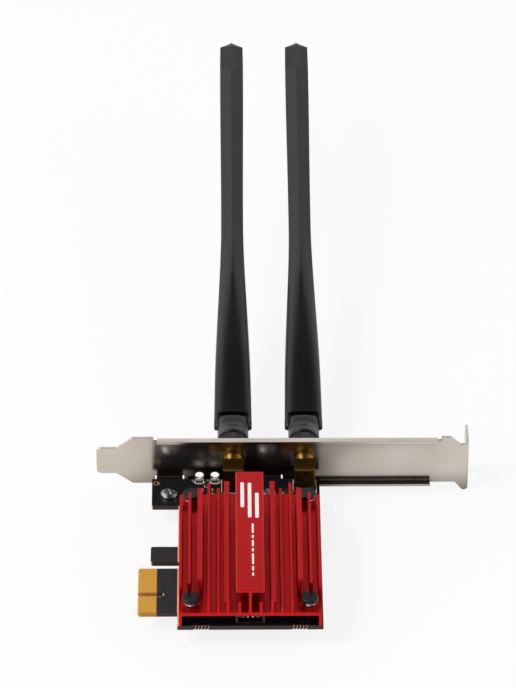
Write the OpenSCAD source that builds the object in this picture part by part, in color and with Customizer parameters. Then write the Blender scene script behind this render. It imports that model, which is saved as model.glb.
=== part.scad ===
// Wireless network card for a desktop computer, with two hinged antennas.
// The contact edge points along -X, the antennas along +Y and the heatsink along +Z.
// The origin is the middle of the key notch, on the contact edge, in the board's mid-plane.

/* [Circuit board] */
// Thickness of the board
board_t = 1.6; // [1.2:0.1:2]
// Length of the main board, bracket end to front end
board_l = 72; // [66:0.5:90]
// Width of the main board
board_w = 45.3; // [44.8:0.1:60]
// Distance from the key notch to the bracket end of the board
key_to_end = 57.15; // [55:0.05:60]
// How far the contact edge stands out from the main board
edge_drop = 12.4; // [11:0.1:14]
// Width of the side ear that carries a bracket screw
ear_w = 8.6; // [7.5:0.1:9.5]
// Length of the side ear
ear_l = 13.7; // [13:0.1:18]
// Width of the key notch
key_w = 1.9; // [1.5:0.05:2.2]
// Depth of the key notch
key_d = 8.25; // [7:0.05:9]
// Number of contact columns on the bracket side of the key
long_row = 11; // [6:1:11]
// Number of contact columns on the far side of the key
short_row = 7; // [3:1:7]
// Pitch of the contacts
contact_pitch = 1.0; // [0.8:0.05:1]
// Width of one contact
contact_w = 0.7; // [0.5:0.05:0.75]
// Length of one contact
contact_l = 5.4; // [4:0.1:6]
// Plating thickness of a contact
contact_t = 0.05; // [0.03:0.01:0.1]
// Bare board between the contact edge and the contacts
contact_inset = 0.4; // [0.4:0.05:1.5]
// Bare board between the last contact centre and the outer corner
contact_margin = 1.1; // [0.9:0.05:1.3]
// Width of the retention tab
tab_w = 7.5; // [6:0.1:9]
// How far the retention tab stands out
tab_out = 8.6; // [6:0.1:10]
// Width of the slot between the retention tab and the contacts
tab_slot_w = 3.1; // [2.8:0.05:4.5]

/* [Bracket] */
// Full height of the bracket
bracket_l = 120.02; // [115:0.5:125]
// Width of the bracket plate
bracket_w = 18.42; // [18:0.02:20]
// Sheet thickness
bracket_t = 0.86; // [0.7:0.02:1.1]
// Inside radius of the folds
fold_r = 0.5; // [0.3:0.05:0.8]
// Distance from the tongue's tip to the contact edge
tongue_reach = 14.1; // [12:0.1:16]
// Width of the tongue
tongue_w = 10.19; // [8:0.01:12]
// Straight length of the tongue
tongue_l = 6.3; // [5:0.1:8]
// Corner radius of the tongue
tongue_r = 1.6; // [1:0.1:3]
// Length over which the tongue widens
taper_l = 5.3; // [4:0.1:6]
// Gap between the bracket and the end of the board
bracket_gap = 3.2; // [2.8:0.1:4]
// Bracket width below the board's underside
solder_side = 2.6; // [2.4:0.05:3]
// Width of the stiffening flanges
flange_w = 2.2; // [1.6:0.1:2.6]
// Depth of the fastening tab
lug_d = 11.43; // [10:0.05:13]
// How far the fastening tab is offset below the plate
lug_offset = 3.18; // [2.5:0.02:4]
// Height of the fastening tab above the plate's lower edge
lug_top = 15.3; // [14:0.1:16]
// Width of the fastening screw's notch
notch_w = 4.42; // [4.2:0.02:5]
// Distance from the inner face to the notch's middle line
notch_y = 6.35; // [5.5:0.05:7]
// Depth of the notch from the edge of the tab to its centre
notch_d = 3.6; // [3:0.1:5]
// Diameter of the two light holes
light_d = 2.8; // [2:0.1:3.2]
// Distance from the side of the main board to the first light
light_in = 6.6; // [6:0.1:8]
// Distance between the lights
light_pitch = 5; // [4:0.1:5.5]

/* [Fixing screws] */
// Thread diameter
screw_d = 3; // [2.5:0.1:3.2]
// Head diameter
screw_head_d = 5.4; // [5:0.1:6]
// Head height
screw_head_h = 1.9; // [1.5:0.1:2.4]
// Length under the head
screw_l = 5; // [4.5:0.1:6]
// Distance from the bracket's inner face to the screws
screw_y = 11.7; // [10.5:0.1:13]
// Distance from the side of the main board out to the first screw
screw_out = 3; // [2.6:0.1:3.6]
// Distance between the two screws
screw_pitch = 31.8; // [30:0.1:32.5]
// Length of the bracket's board tabs
board_tab_l = 15.5; // [15:0.1:18]
// Width of the bracket's board tabs
board_tab_w = 8.4; // [7.5:0.1:9]

/* [Heatsink] */
// Width over the side walls
sink_w = 44.3; // [43.6:0.1:44.6]
// Board left free between the heatsink and the bracket end
sink_back = 14.5; // [13.5:0.1:18]
// Base thickness
sink_base_t = 1.35; // [1:0.05:1.6]
// Height of the channel under the base
sink_lift = 4.05; // [3.9:0.05:5]
// Thickness of the walls and fins
fin_t = 0.92; // [0.7:0.02:1.1]
// Fillet at the foot of each fin
fin_root_r = 0.3; // [0.1:0.05:0.4]
// Height of the side walls above the base
wall_h = 4.3; // [3:0.1:6]
// Overhang of the hooked fin heads
hook_w = 0.75; // [0.6:0.05:0.9]
// Thickness of the hooked fin heads
hook_t = 0.9; // [0.6:0.05:1.2]
// Width of the middle cap
cap_w = 8.9; // [8:0.1:11]
// Thickness of the middle cap
cap_t = 1.1; // [0.9:0.05:1.5]
// Height of the middle cap above the base
cap_h = 9.2; // [8.2:0.1:11]
// Space milled free round each pin cap
corner_gap = 0.35; // [0.3:0.05:0.6]

/* [Push pins] */
// Cap diameter
pin_cap_d = 5.5; // [5:0.1:5.8]
// Cap thickness
pin_cap_t = 1.2; // [0.9:0.1:1.5]
// Shank diameter
pin_d = 2.8; // [2.4:0.1:3]
// Distance from the side of the heatsink to the pins
pin_side = 3.8; // [3.6:0.1:4.2]
// Distance from the bracket end of the heatsink to the first pins
pin_far = 2.8; // [2.8:0.1:3.4]
// Distance from the front end of the heatsink to the second pins
pin_near = 4.3; // [3:0.1:5]
// Height of the spring under each cap
spring_h = 1.8; // [1.5:0.1:2.5]
// Spring wire diameter
spring_wire = 0.4; // [0.3:0.05:0.5]
// Turns of each spring
spring_turns = 3; // [2:0.5:3.5]

/* [Radio module] */
// Width of the module
module_w = 22; // [20:0.5:24]
// Length of the module
module_l = 30; // [28:0.5:34]
// Thickness of the module's board
module_t = 0.8; // [0.6:0.05:1]
// Space between the circuit board and the module
module_lift = 1.25; // [1:0.05:1.4]
// Height of the shielding can
can_h = 1.25; // [1:0.05:1.4]
// Distance from the front of the card to the socket
socket_y = 9.5; // [9:0.1:12]
// Depth of the socket
socket_d = 7.4; // [6.5:0.1:8]
// Height of the socket
socket_h = 3.2; // [2.8:0.1:3.5]

/* [Aerial sockets] */
// Distance between the two sockets
jack_pitch = 23; // [20:0.1:26]
// Distance from the contact edge to the first socket
jack_x = 29.9; // [29:0.1:31]
// Side of the square socket block
jack_block = 6.5; // [6:0.1:7]
// Gap between the block and the bracket
jack_gap = 3; // [2.5:0.1:3.2]
// Thread diameter of the socket
jack_d = 6.35; // [6:0.05:6.5]
// Thread length in front of the bracket
jack_reach = 6.3; // [6:0.1:6.4]
// Bore that takes the aerial's plug
jack_bore = 4.6; // [4.4:0.05:4.8]
// Distance across the flats of the socket's nut
nut_af = 8; // [7.5:0.1:9]
// Thickness of the socket's nut
nut_t = 2.2; // [1.8:0.1:2.4]
// Thickness of the lock washer
washer_t = 0.6; // [0.4:0.05:0.8]

/* [Aerials] */
// Outer diameter of the knurled nut
ring_d = 9.8; // [9:0.1:9.9]
// End of the knurled nut, from the bracket's inner face
ring_end = 9.1; // [9:0.1:10]
// Number of knurls
knurl_n = 32; // [24:2:40]
// Depth of the knurls
knurl_d = 0.35; // [0.2:0.05:0.5]
// Diameter of the swivel body
knuckle_d = 10; // [9:0.1:10.2]
// Distance from the bracket's inner face to the hinge
hinge_y = 18.65; // [17.5:0.05:20]
// Radius of the swivel body round the hinge
eye_r = 3.1; // [2.6:0.1:3.4]
// Diameter of the hinge pin
hinge_pin_d = 1.8; // [1.4:0.1:2.2]
// Width of the blade at the hinge
fork_w = 12.3; // [12.2:0.1:13]
// Radius of the fork's arms
fork_r = 2.4; // [2.2:0.05:3]
// Length of the blade from the hinge to the tip
blade_l = 186.5; // [150:0.5:240]
// Width of the blade at its waist
waist_w = 7.5; // [7:0.1:9]
// Width of the blade near the tip
tip_w = 8.1; // [7:0.1:9]
// Greatest thickness of the blade
blade_t = 7.2; // [6.6:0.1:9]
// Thickness of the blade near the tip
tip_t = 6.2; // [5.6:0.1:7.5]
// Length of the sloped tip
tip_l = 10; // [8:0.5:14]
// Rest tilt of the blades
rest_tilt = 8; // [0:1:8]

/* [Fits] */
// Radial clearance of a turning fit
run_fit = 0.05; // [0.03:0.01:0.08]
// Clearance of a fastener in its hole
loose_fit = 0.1; // [0.05:0.05:0.15]
// Gap between parts that move past each other
move_gap = 0.3; // [0.2:0.05:0.35]

/* [Hidden] */
$fn = 48;

board_top = board_t / 2;
board_x0 = edge_drop;
board_x1 = edge_drop + board_w;
board_cx = edge_drop + board_w / 2;
board_y1 = key_to_end;
board_y0 = key_to_end - board_l;
first_contact = key_w / 2 + 0.55;
row_up = first_contact + contact_pitch * (long_row - 1) + contact_margin;
row_down = first_contact + contact_pitch * (short_row - 1) + contact_margin;
tab_y0 = row_up + tab_slot_w;
bite_r = 0.35;
bite_n = 5;
bite_in = 5.4;
edge_bevel_d = 0.35;
mark_d = 1.4;

bracket_y = key_to_end + bracket_gap;
bracket_z = -board_top - solder_side;
tip_x = -tongue_reach;
axis_z = bracket_z + bracket_w / 2;
screw_x = [board_x0 - screw_out, board_x0 - screw_out + screw_pitch];
light_x = [board_x0 + light_in, board_x0 + light_in + light_pitch];
light_z = -board_top / 2;
flare_from = 4.3;
flare_to = 1.9;
slope_from = 6;
slope_to = 3;
top_flange = [19.6, 109.9];
low_flange_end = 107.6;
flange_relief = 1.2;
tab_relief = 0.5;
span_gap = 1.5;
collar_h = 0.9;
edge_r = 1.5;

sink_y0 = board_y0;
sink_l = board_l - sink_back;
sink_y1 = sink_y0 + sink_l;
base_z = board_top + sink_lift;
base_top = base_z + sink_base_t;
pin_x = [board_cx - sink_w / 2 + pin_side, board_cx + sink_w / 2 - pin_side];
pin_y = [sink_y0 + pin_near, sink_y1 - pin_far];
corner_w = pin_side + pin_cap_d / 2 + 1;

// Fins on each half: place as a share of the half-width, height above the base, hooked or not
fin_rows = [[0.853, 5.7, false], [0.686, 7.5, true], [0.582, 4.7, false], [0.447, 2.5, false],
    [0.309, 5.4, true], [0.149, 4.2, false]];

module_x = board_cx;
module_step = 1.08;
socket_y0 = board_y0 + socket_y;
module_y0 = socket_y0 + 2.4;
module_y1 = module_y0 + module_l;
module_z = board_top + module_lift;
module_top = module_z + module_t;
can_y0 = socket_y0 + socket_d + 0.6;
can_back = 6.4;
can_y1 = module_y1 - can_back;
can_w = module_w - 2.6;

jack_xs = [jack_x, jack_x + jack_pitch];
block_y1 = bracket_y - jack_gap;
block_y0 = block_y1 - jack_block;
barrel_end = bracket_y + bracket_t + jack_reach;
nut_y0 = bracket_y + bracket_t + washer_t;
ring_y0 = nut_y0 + nut_t;
ring_y1 = bracket_y + ring_end;
ring_lip = 1;
plug_flange = 0.7;
hinge_at = bracket_y + hinge_y;
knuckle_y0 = ring_y1 + 0.15;
knuckle_l = hinge_at - fork_r - 2 * move_gap - knuckle_y0;
slot_w = knuckle_d + 2 * run_fit;
slot_end = eye_r + move_gap + 0.1;
bore_r = 1.8;
arm_end_r = 0.7;

jack_dx = 5.3;
board_jack_x = [jack_xs[0] - jack_dx, jack_xs[1] - jack_dx];
board_jack_y = bracket_y - screw_y;
module_jack_x = [module_x - 5.5, module_x + 5.5];
module_jack_y = module_y1 - 3.4;
lead_d = 1.13;
lead_steps = 3;
plug_h = 1.2;
plug_lift = 0.45;
snout_l = 2;
snout_grip = 0.5;
snout_turn = [205, 0, 90, 90];
plug_spots = [[board_jack_x[0], board_jack_y, board_top], [board_jack_x[1], board_jack_y, board_top],
    [module_jack_x[0], module_jack_y, module_top], [module_jack_x[1], module_jack_y, module_top]];

// Bends of the leads: share of the way from the board's socket to the module's, and offset from there
left_bends = [[0, [-3, -1.65, 1]], [0, [-3.6, -5.15, 1]], [0.43, [-3.3, 0, 0.5]],
    [0.65, [-0.8, 0, 0.9]], [1, [-0.35, 4.75, 0.75]]];
right_bends = [[0, [4, -0.05, 1]], [0, [6.6, -1.85, 1]], [0, [3.9, -4.65, 1]],
    [0.36, [2.9, 0, 0.65]], [0.6, [1.6, 0, 0.95]], [1, [0.85, 4.95, 0.75]]];

leg_at = 2.2;
leg_d = 1;
leg_below = 0.6;
core_d = 4.1;
contact_d = 0.9;
jack_recess = 2.2;
neck_d = 5;
stem_d = 3.6;
stem_l = 2.6;
plug_core_d = 3;
socket_od = 1.8;
plug_start = barrel_end - jack_recess + 0.3;
socket_l = knuckle_y0 - plug_start - 2.52;
socket_depth = socket_l - 0.6;
jack_pin_end = plug_start + socket_depth - 0.2;
pin_bite = 2;
hinge_pin_l = fork_w / 2 - knuckle_d / 2 + pin_bite - 0.1;
feed_d = 1.2;
sleeve_y = 30;
sleeve_l = 31;

chip_l = 1;
chip_w = 0.5;
chip_h = 0.35;
block_l = 1.6;
block_w = 0.8;
header_n = 4;
header_w = 9.2;
header_d = 5;
header_h = 3.7;
header_back = 0.8;
header_z = board_top + 2.2;
header_pin_y = board_y0 + header_back + header_d + 0.7;
function header_x(i) = board_cx + (i - (header_n - 1) / 2) * 1.5;

// Small parts by their centres: beside the lights, on the front edge and round the module
resistor_back = 5.75;
resistor_in = 5.5;
resistor_front = 1.65;
capacitor_side = 6.3;
capacitor_pitch = 2;
capacitor_first = 5;
capacitor_front = 2.45;
capacitor_in = 2;
resistor_spots = [[light_x[1], board_y1 - resistor_back],
    [light_x[0] + chip_l * 0.4, board_y1 - resistor_back],
    [(light_x[0] + light_x[1]) / 2, board_y1 - resistor_back + 2 * chip_l],
    [board_x1 - resistor_in - chip_l * 0.8, board_y0 + resistor_front],
    [board_x1 - resistor_in + chip_l * 0.8, board_y0 + resistor_front]];
capacitor_spots = concat([for (i = [0:2]) [module_x - module_w / 2 - capacitor_side,
        module_y0 + capacitor_first + i * capacitor_pitch]],
    [for (i = [0:1]) [module_x + module_w / 2 + capacitor_side,
        module_y0 + capacitor_first + i * capacitor_pitch]],
    [for (s = [-1, 1]) [module_x + s * (module_w / 2 + capacitor_in), socket_y0 - capacitor_front]]);

// One flat blank from the lower left corner, placed in the X-Z plane and t thick along Y
module upright(y, t) {
    translate([0, y + t, 0]) rotate([90, 0, 0]) linear_extrude(t) children();
}

// A section drawn in Y and Z, drawn out along X
module along_x(x, l) {
    translate([x, 0, 0]) rotate([90, 0, 90]) linear_extrude(l) children();
}

// A section drawn in X and Z, drawn out along +Y
module along_y(y, l) {
    translate([0, y + l, 0]) rotate([90, 0, 0]) linear_extrude(l) children();
}

// A round bar along +Y
module bar_y(x, y, z, d, l) {
    translate([x, y, z]) rotate([-90, 0, 0]) cylinder(h = l, d = d);
}

module ring(r, t) {
    difference() {
        circle(r + t);
        circle(r);
    }
}

// Quarter of a fold, in the quadrant given by the signs sx and sy
module fold(sx, sy) {
    intersection() {
        ring(fold_r, bracket_t);
        scale([sx, sy]) square(fold_r + bracket_t + 1);
    }
}

// What is cut off a square corner to round it
module corner_off(r) {
    difference() {
        translate([-0.01, -0.01]) square(r + 0.01);
        translate([r, r]) circle(r);
    }
}

// Printed circuit board
module finger_outline() {
    chamfer = 0.5;
    polygon([[chamfer, -row_down], [board_x0 + 1, -row_down], [board_x0 + 1, row_up],
        [chamfer, row_up], [0, row_up - chamfer], [0, -row_down + chamfer]]);
}

module board_outline() {
    difference() {
        union() {
            translate([board_x0, board_y0]) square([board_w, board_l]);
            translate([board_x0 - ear_w, board_y1 - ear_l]) square([ear_w + 1, ear_l]);
            translate([board_x0 - tab_out, tab_y0]) square([tab_out + 1, tab_w]);
            finger_outline();
        }
        translate([key_d - key_w / 2, 0]) circle(d = key_w);
        translate([-1, -key_w / 2]) square([key_d - key_w / 2 + 1, key_w]);
        translate([board_x0, row_up + tab_slot_w / 2]) circle(d = tab_slot_w);
        translate([board_x0 - tab_out, tab_y0]) corner_off(0.8);
        translate([board_x0 - tab_out, tab_y0 + tab_w]) mirror([0, 1]) corner_off(0.8);
        translate([board_x0 - ear_w, board_y1 - ear_l]) corner_off(0.6);
    }
}

module board_holes() {
    for (x = screw_x) translate([x, bracket_y - screw_y]) circle(d = screw_d + 0.2);
    for (x = pin_x, y = pin_y) translate([x, y]) circle(d = pin_d + 2 * loose_fit);
    for (x = jack_xs, dx = [-1, 1], dy = [-1, 1])
        translate([x + dx * leg_at, (block_y0 + block_y1) / 2 + dy * leg_at]) circle(d = leg_d + 0.2);
    for (x = jack_xs) translate([x, (block_y0 + block_y1) / 2]) circle(d = 1.2);
    for (i = [0:header_n - 1]) translate([header_x(i), header_pin_y]) circle(d = 0.7);
    translate([board_x0 - ear_w + mark_d, board_y1 - 2.3]) circle(d = mark_d);
    for (x0 = [board_x0 + bite_in, board_x1 - bite_in - bite_n + 1], i = [0:bite_n - 1])
        translate([x0 + i, board_y0]) circle(bite_r, $fn = 24);
}

module circuit_board() {
    color("#1b1c20") difference() {
        translate([0, 0, -board_t / 2]) linear_extrude(board_t) difference() {
            board_outline();
            board_holes();
        }
        for (s = [-1, 1]) edge_bevel(s);
    }
}

// The contact edge is bevelled on both faces
module edge_bevel(side) {
    z = side * board_t / 2;
    over = 0.01;
    translate([0, -row_down - 1, 0]) rotate([-90, 0, 0]) linear_extrude(row_up + row_down + 2)
        polygon([[-over, -z - side * over], [edge_bevel_d, -z - side * over],
            [-over, -z + side * edge_bevel_d]]);
}

// Gold contacts of one face
module contact_row(z, first, count) {
    for (i = [0:count - 1])
        translate([contact_inset, first + i * contact_pitch - contact_w / 2, z])
            cube([contact_l, contact_w, contact_t]);
}

module contact_face(z) {
    contact_row(z, first_contact, long_row);
    mirror([0, 1, 0]) contact_row(z, first_contact, short_row);
}

module edge_contacts_top() {
    color("#dda233") contact_face(board_top);
}

module edge_contacts_bottom() {
    color("#dda233") contact_face(-board_top - contact_t);
}

// Steel bracket, cut from sheet and folded
module plate_outline() {
    u1 = tongue_l + taper_l;
    end = bracket_l - fold_r - bracket_t;
    side = (bracket_w - tongue_w) / 2;
    translate([0, side]) difference() {
        square([tongue_l + 0.01, tongue_w]);
        corner_off(tongue_r);
        translate([0, tongue_w]) mirror([0, 1]) corner_off(tongue_r);
    }
    polygon([[tongue_l, side], [u1, 0], [bracket_l - flare_from, 0], [bracket_l - flare_to, -lug_offset],
        [end, -lug_offset], [end, lug_top], [bracket_l - slope_to, lug_top],
        [bracket_l - slope_from, bracket_w], [u1, bracket_w], [tongue_l, side + tongue_w]]);
}

module bracket_blank() {
    drop = fold_r + bracket_t;
    difference() {
        plate_outline();
        translate([top_flange[0] - flange_relief, bracket_w - drop])
            square([top_flange[1] - top_flange[0] + 2 * flange_relief, drop + 1]);
        for (span = low_spans()) translate([span[0] - tip_x, -1]) square([span[1] - span[0], drop + 1]);
        for (x = screw_x) translate([x - tip_x - board_tab_w / 2 - tab_relief, -1])
            square([board_tab_w + 2 * tab_relief, solder_side + fold_r + 1]);
        for (x = light_x) translate([x - tip_x, light_z - bracket_z]) circle(d = light_d);
        for (x = jack_xs) translate([x - tip_x, bracket_w / 2]) circle(d = jack_d + 2 * loose_fit);
    }
}

// The lower flange runs between the board tabs
function low_spans() = let (reach = board_tab_w / 2 + span_gap)
    [[screw_x[0] + reach, screw_x[1] - reach], [screw_x[1] + reach, tip_x + low_flange_end]];

module flange(x0, x1, up) {
    z = up ? bracket_z + bracket_w : bracket_z;
    s = up ? 1 : -1;
    along_x(x0, x1 - x0) translate([bracket_y - fold_r, z - s * (fold_r + bracket_t)]) {
        fold(1, s);
        translate([-flange_w + fold_r, s > 0 ? fold_r : -fold_r - bracket_t])
            square([flange_w - fold_r, bracket_t]);
    }
}

module board_tab(x) {
    tab_end = bracket_y - board_tab_l;
    z = -board_top;
    along_x(x - board_tab_w / 2, board_tab_w)
        translate([bracket_y - fold_r, z + fold_r]) fold(1, -1);
    difference() {
        translate([x - board_tab_w / 2, tab_end, z - bracket_t])
            cube([board_tab_w, board_tab_l - fold_r, bracket_t]);
        translate([x, bracket_y - screw_y, z - bracket_t - 1])
            cylinder(h = bracket_t + 2, d = screw_d + loose_fit);
        for (m = [0, 1]) translate([x, tab_end, z - bracket_t - 1]) mirror([m, 0, 0])
            translate([-board_tab_w / 2, 0, 0]) linear_extrude(bracket_t + 2) corner_off(edge_r);
    }
    translate([x, bracket_y - screw_y, z - bracket_t - collar_h]) difference() {
        cylinder(h = collar_h + 0.01, d = screw_d + 1.4);
        translate([0, 0, -1]) cylinder(h = collar_h + 2, d = screw_d + loose_fit);
    }
}

module fastening_lug() {
    x1 = tip_x + bracket_l;
    h = lug_top + lug_offset;
    z0 = bracket_z - lug_offset;
    far = bracket_y + lug_d;
    near = bracket_y + bracket_t + fold_r;
    translate([x1 - fold_r - bracket_t, near, z0]) linear_extrude(h) fold(1, -1);
    along_x(x1 - bracket_t, bracket_t) difference() {
        translate([near, z0]) square([far - near, h]);
        translate([bracket_y + notch_y, z0 + notch_d]) circle(d = notch_w);
        translate([bracket_y + notch_y - notch_w / 2, z0 - 1]) square([notch_w, notch_d + 1]);
        translate([far, z0]) mirror([1, 0]) corner_off(edge_r);
        translate([far, z0 + h]) mirror([1, 0]) mirror([0, 1]) corner_off(edge_r);
    }
}

module bracket() {
    color("#cfc7be") {
        translate([tip_x, 0, bracket_z]) upright(bracket_y, bracket_t) bracket_blank();
        flange(tip_x + top_flange[0], tip_x + top_flange[1], true);
        for (span = low_spans()) flange(span[0], span[1], false);
        for (x = screw_x) board_tab(x);
        fastening_lug();
    }
}

// Pan-head screw with a cross recess, standing on z = 0
module pan_screw(head_d, head_h, d, l) {
    dome = head_d * 0.95;
    difference() {
        union() {
            intersection() {
                cylinder(h = head_h, d = head_d);
                translate([0, 0, head_h - dome]) sphere(dome, $fn = 96);
            }
            translate([0, 0, -l + d / 8]) cylinder(h = l - d / 8 + 0.01, d = d);
            translate([0, 0, -l]) cylinder(h = d / 8, d1 = d * 0.75, d2 = d);
        }
        translate([0, 0, head_h * 0.35]) intersection() {
            cylinder(h = head_h, d1 = head_d * 0.1, d2 = head_d * 1.2);
            for (a = [0, 90]) rotate(a) translate([-head_d * 0.3, -head_d * 0.07, 0])
                cube([head_d * 0.6, head_d * 0.14, head_h]);
        }
    }
}

module bracket_screws() {
    color("#d8d8d8") for (x = screw_x) translate([x, bracket_y - screw_y, board_top])
        rotate(20) pan_screw(screw_head_d, screw_head_h, screw_d, screw_l);
}

// Heatsink, one aluminium extrusion with its pin corners milled away
module fin(x, h, hooked) {
    translate([x - fin_t / 2, -0.01]) square([fin_t, h + 0.01]);
    if (hooked) translate([x - fin_t / 2, h - hook_t]) square([fin_t + hook_w, hook_t]);
    for (s = [-1, 1]) translate([x + s * fin_t / 2, 0]) scale([s, 1]) corner_off(fin_root_r);
}

module middle_cap() {
    bevel = 0.35;
    translate([-fin_t / 2, 0]) square([fin_t, cap_h - cap_t + 0.01]);
    for (s = [-1, 1]) translate([s * fin_t / 2, 0]) scale([s, 1]) corner_off(fin_root_r);
    polygon([[-cap_w / 2, cap_h - cap_t], [cap_w / 2, cap_h - cap_t], [cap_w / 2, cap_h - bevel],
        [cap_w / 2 - bevel, cap_h], [-cap_w / 2 + bevel, cap_h], [-cap_w / 2, cap_h - bevel]]);
}

module sink_section() {
    translate([-sink_w / 2, base_z]) square([sink_w, sink_base_t]);
    for (s = [-1, 1]) scale([s, 1]) {
        translate([sink_w / 2 - fin_t, board_top]) square([fin_t, sink_lift + sink_base_t + wall_h]);
        translate([0, base_top]) for (row = fin_rows)
            fin(row[0] * sink_w / 2, row[1], row[2]);
        translate([sink_w / 2 - fin_t, base_top]) mirror([1, 0]) corner_off(fin_root_r);
        translate([sink_w / 2 - fin_t, base_z]) mirror([1, 0]) mirror([0, 1]) corner_off(fin_root_r);
    }
    translate([0, base_top]) middle_cap();
}

module heatsink() {
    reach = pin_cap_d / 2 + corner_gap;
    color("#be2326") difference() {
        translate([board_cx, 0, 0]) along_y(sink_y0, sink_l) sink_section();
        for (s = [0, 1]) translate([board_cx, 0, base_top]) mirror([s, 0, 0])
            translate([sink_w / 2 - corner_w, 0, 0]) {
                translate([0, sink_y0 - 1, 0]) cube([corner_w + 1, pin_near + reach + 1, cap_h]);
                translate([0, sink_y1 - pin_far - reach, 0]) cube([corner_w + 1, pin_far + reach + 1, cap_h]);
            }
        for (x = pin_x, y = pin_y) translate([x, y, base_z - 1])
            cylinder(h = sink_base_t + 2, d = pin_d + 2 * loose_fit);
    }
}

module thermal_pad() {
    inset = 1.2;
    z = module_top + can_h;
    color("#9fb3c4") translate([module_x - can_w / 2 + inset, can_y0 + inset, z])
        cube([can_w - 2 * inset, can_y1 - can_y0 - 2 * inset, base_z - z]);
}

// Plastic push pin with a split barb below the board
module push_pin() {
    cap_z = base_top + spring_h;
    barb = 2.2;
    difference() {
        union() {
            translate([0, 0, cap_z]) rotate_extrude() difference() {
                square([pin_cap_d / 2, pin_cap_t]);
                translate([pin_cap_d / 2, pin_cap_t]) scale([-1, -1]) corner_off(0.4);
            }
            translate([0, 0, -board_top]) cylinder(h = cap_z + board_top + 0.01, d = pin_d);
            translate([0, 0, -board_top - barb]) cylinder(h = barb, d1 = pin_d * 0.7, d2 = pin_d + 0.9);
        }
        translate([-0.3, -pin_d, -board_top - barb - 1]) cube([0.6, 2 * pin_d, barb + 2.4]);
    }
}

module push_pins() {
    color("#1c1c1e") for (x = pin_x, y = pin_y) translate([x, y, 0]) push_pin();
}

// Points of a round wire that follows the centre line pts
function unit(v) = v / norm(v);
function tangent(pts, i) = let (n = len(pts) - 1)
    unit(i == 0 ? pts[1] - pts[0] : i == n ? pts[n] - pts[n - 1] : pts[i + 1] - pts[i - 1]);
function wire_ring(p, t, r, sides) = let (side = unit(cross(t, [0, 0, 1])), up = cross(side, t))
    [for (k = [0:sides - 1]) p + r * (cos(360 * k / sides) * side + sin(360 * k / sides) * up)];

module wire(pts, d, sides = 8) {
    n = len(pts);
    rings = [for (i = [0:n - 1]) each wire_ring(pts[i], tangent(pts, i), d / 2, sides)];
    skin = [for (i = [0:n - 2], k = [0:sides - 1]) let (a = i * sides + k, b = i * sides + (k + 1) % sides)
        each [[a, b, b + sides], [a, b + sides, a + sides]]];
    near_cap = [[for (k = [0:sides - 1]) sides - 1 - k]];
    far_cap = [[for (k = [0:sides - 1]) (n - 1) * sides + k]];
    polyhedron(rings, concat(skin, near_cap, far_cap));
}

module push_pin_springs() {
    steps = 12;
    r = pin_d / 2 + spring_wire / 2 + 0.25;
    rise = spring_h - spring_wire;
    total = spring_turns * steps;
    coil = [for (i = [0:total]) let (a = 360 * i / steps)
        [r * cos(a), r * sin(a), base_top + spring_wire / 2 + rise * i / total]];
    color("#c8c8c8") for (x = pin_x, y = pin_y) translate([x, y, 0]) wire(coil, spring_wire, 6);
}

// Radio module on its own small board
module radio_module() {
    edge_l = 4;
    color("#12351f") difference() {
        translate([module_x - module_w / 2, module_y0, module_z]) cube([module_w, module_l, module_t]);
        for (s = [-1, 1]) translate([module_x + s * module_w / 2 - module_step, module_y0 - 1, module_z - 1])
            cube([2 * module_step, edge_l + 1, module_t + 2]);
        translate([module_x, module_y1, module_z - 1]) cylinder(h = module_t + 2, d = 3.5);
    }
}

module radio_can() {
    wall = 0.2;
    color("#c9c9c6") difference() {
        translate([module_x - can_w / 2, can_y0, module_top]) cube([can_w, can_y1 - can_y0, can_h]);
        translate([module_x - can_w / 2 + wall, can_y0 + wall, module_top - 1])
            cube([can_w - 2 * wall, can_y1 - can_y0 - 2 * wall, can_h + 1 - wall]);
    }
}

module module_socket() {
    w = module_w - 0.1;
    mouth_w = module_w - 2 * module_step + 0.36;
    mouth_y = module_y0 - 0.4;
    color("#161617") difference() {
        translate([module_x - w / 2, socket_y0, board_top]) cube([w, socket_d, socket_h]);
        translate([module_x - mouth_w / 2, mouth_y, module_z - 0.1])
            cube([mouth_w, socket_d + 2, module_t + 0.2]);
        translate([module_x - w / 2 - 1, module_y0 + 1.8, module_z - 0.1])
            cube([w + 2, socket_d + 2, 4]);
    }
}

module socket_contacts() {
    n = 33;
    pitch = 0.5;
    color("#d7b25a") for (i = [0:n - 1]) translate([module_x + (i - (n - 1) / 2) * pitch - 0.1,
        socket_y0 - 0.7, board_top]) cube([0.2, 0.7, 0.25]);
}

module module_standoff() {
    color("#c9a24a") translate([module_x, module_y1, board_top]) difference() {
        cylinder(h = module_lift, d = 5);
        translate([0, 0, -1]) cylinder(h = module_lift + 2, d = 2 + loose_fit);
    }
}

module module_screw() {
    color("#d0d0d0") translate([module_x, module_y1, module_top])
        pan_screw(4.2, 0.9, 2, module_lift + module_t - 0.1);
}

// Snap-on coaxial connectors and the two leads between board and module
module coax_jack() {
    translate([-1.3, -1.3, 0]) cube([2.6, 2.6, 0.35]);
    difference() {
        translate([0, 0, 0.34]) cylinder(h = 0.8, d = 2);
        translate([0, 0, 0.35]) cylinder(h = 2, d = 1.5);
    }
    cylinder(h = 1, d = 0.5);
}

module jack_places() {
    for (x = board_jack_x) translate([x, board_jack_y, board_top]) children();
    for (x = module_jack_x) translate([x, module_jack_y, module_top]) children();
}

module coax_jacks() {
    color("#d8c48a") jack_places() coax_jack();
}

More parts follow.
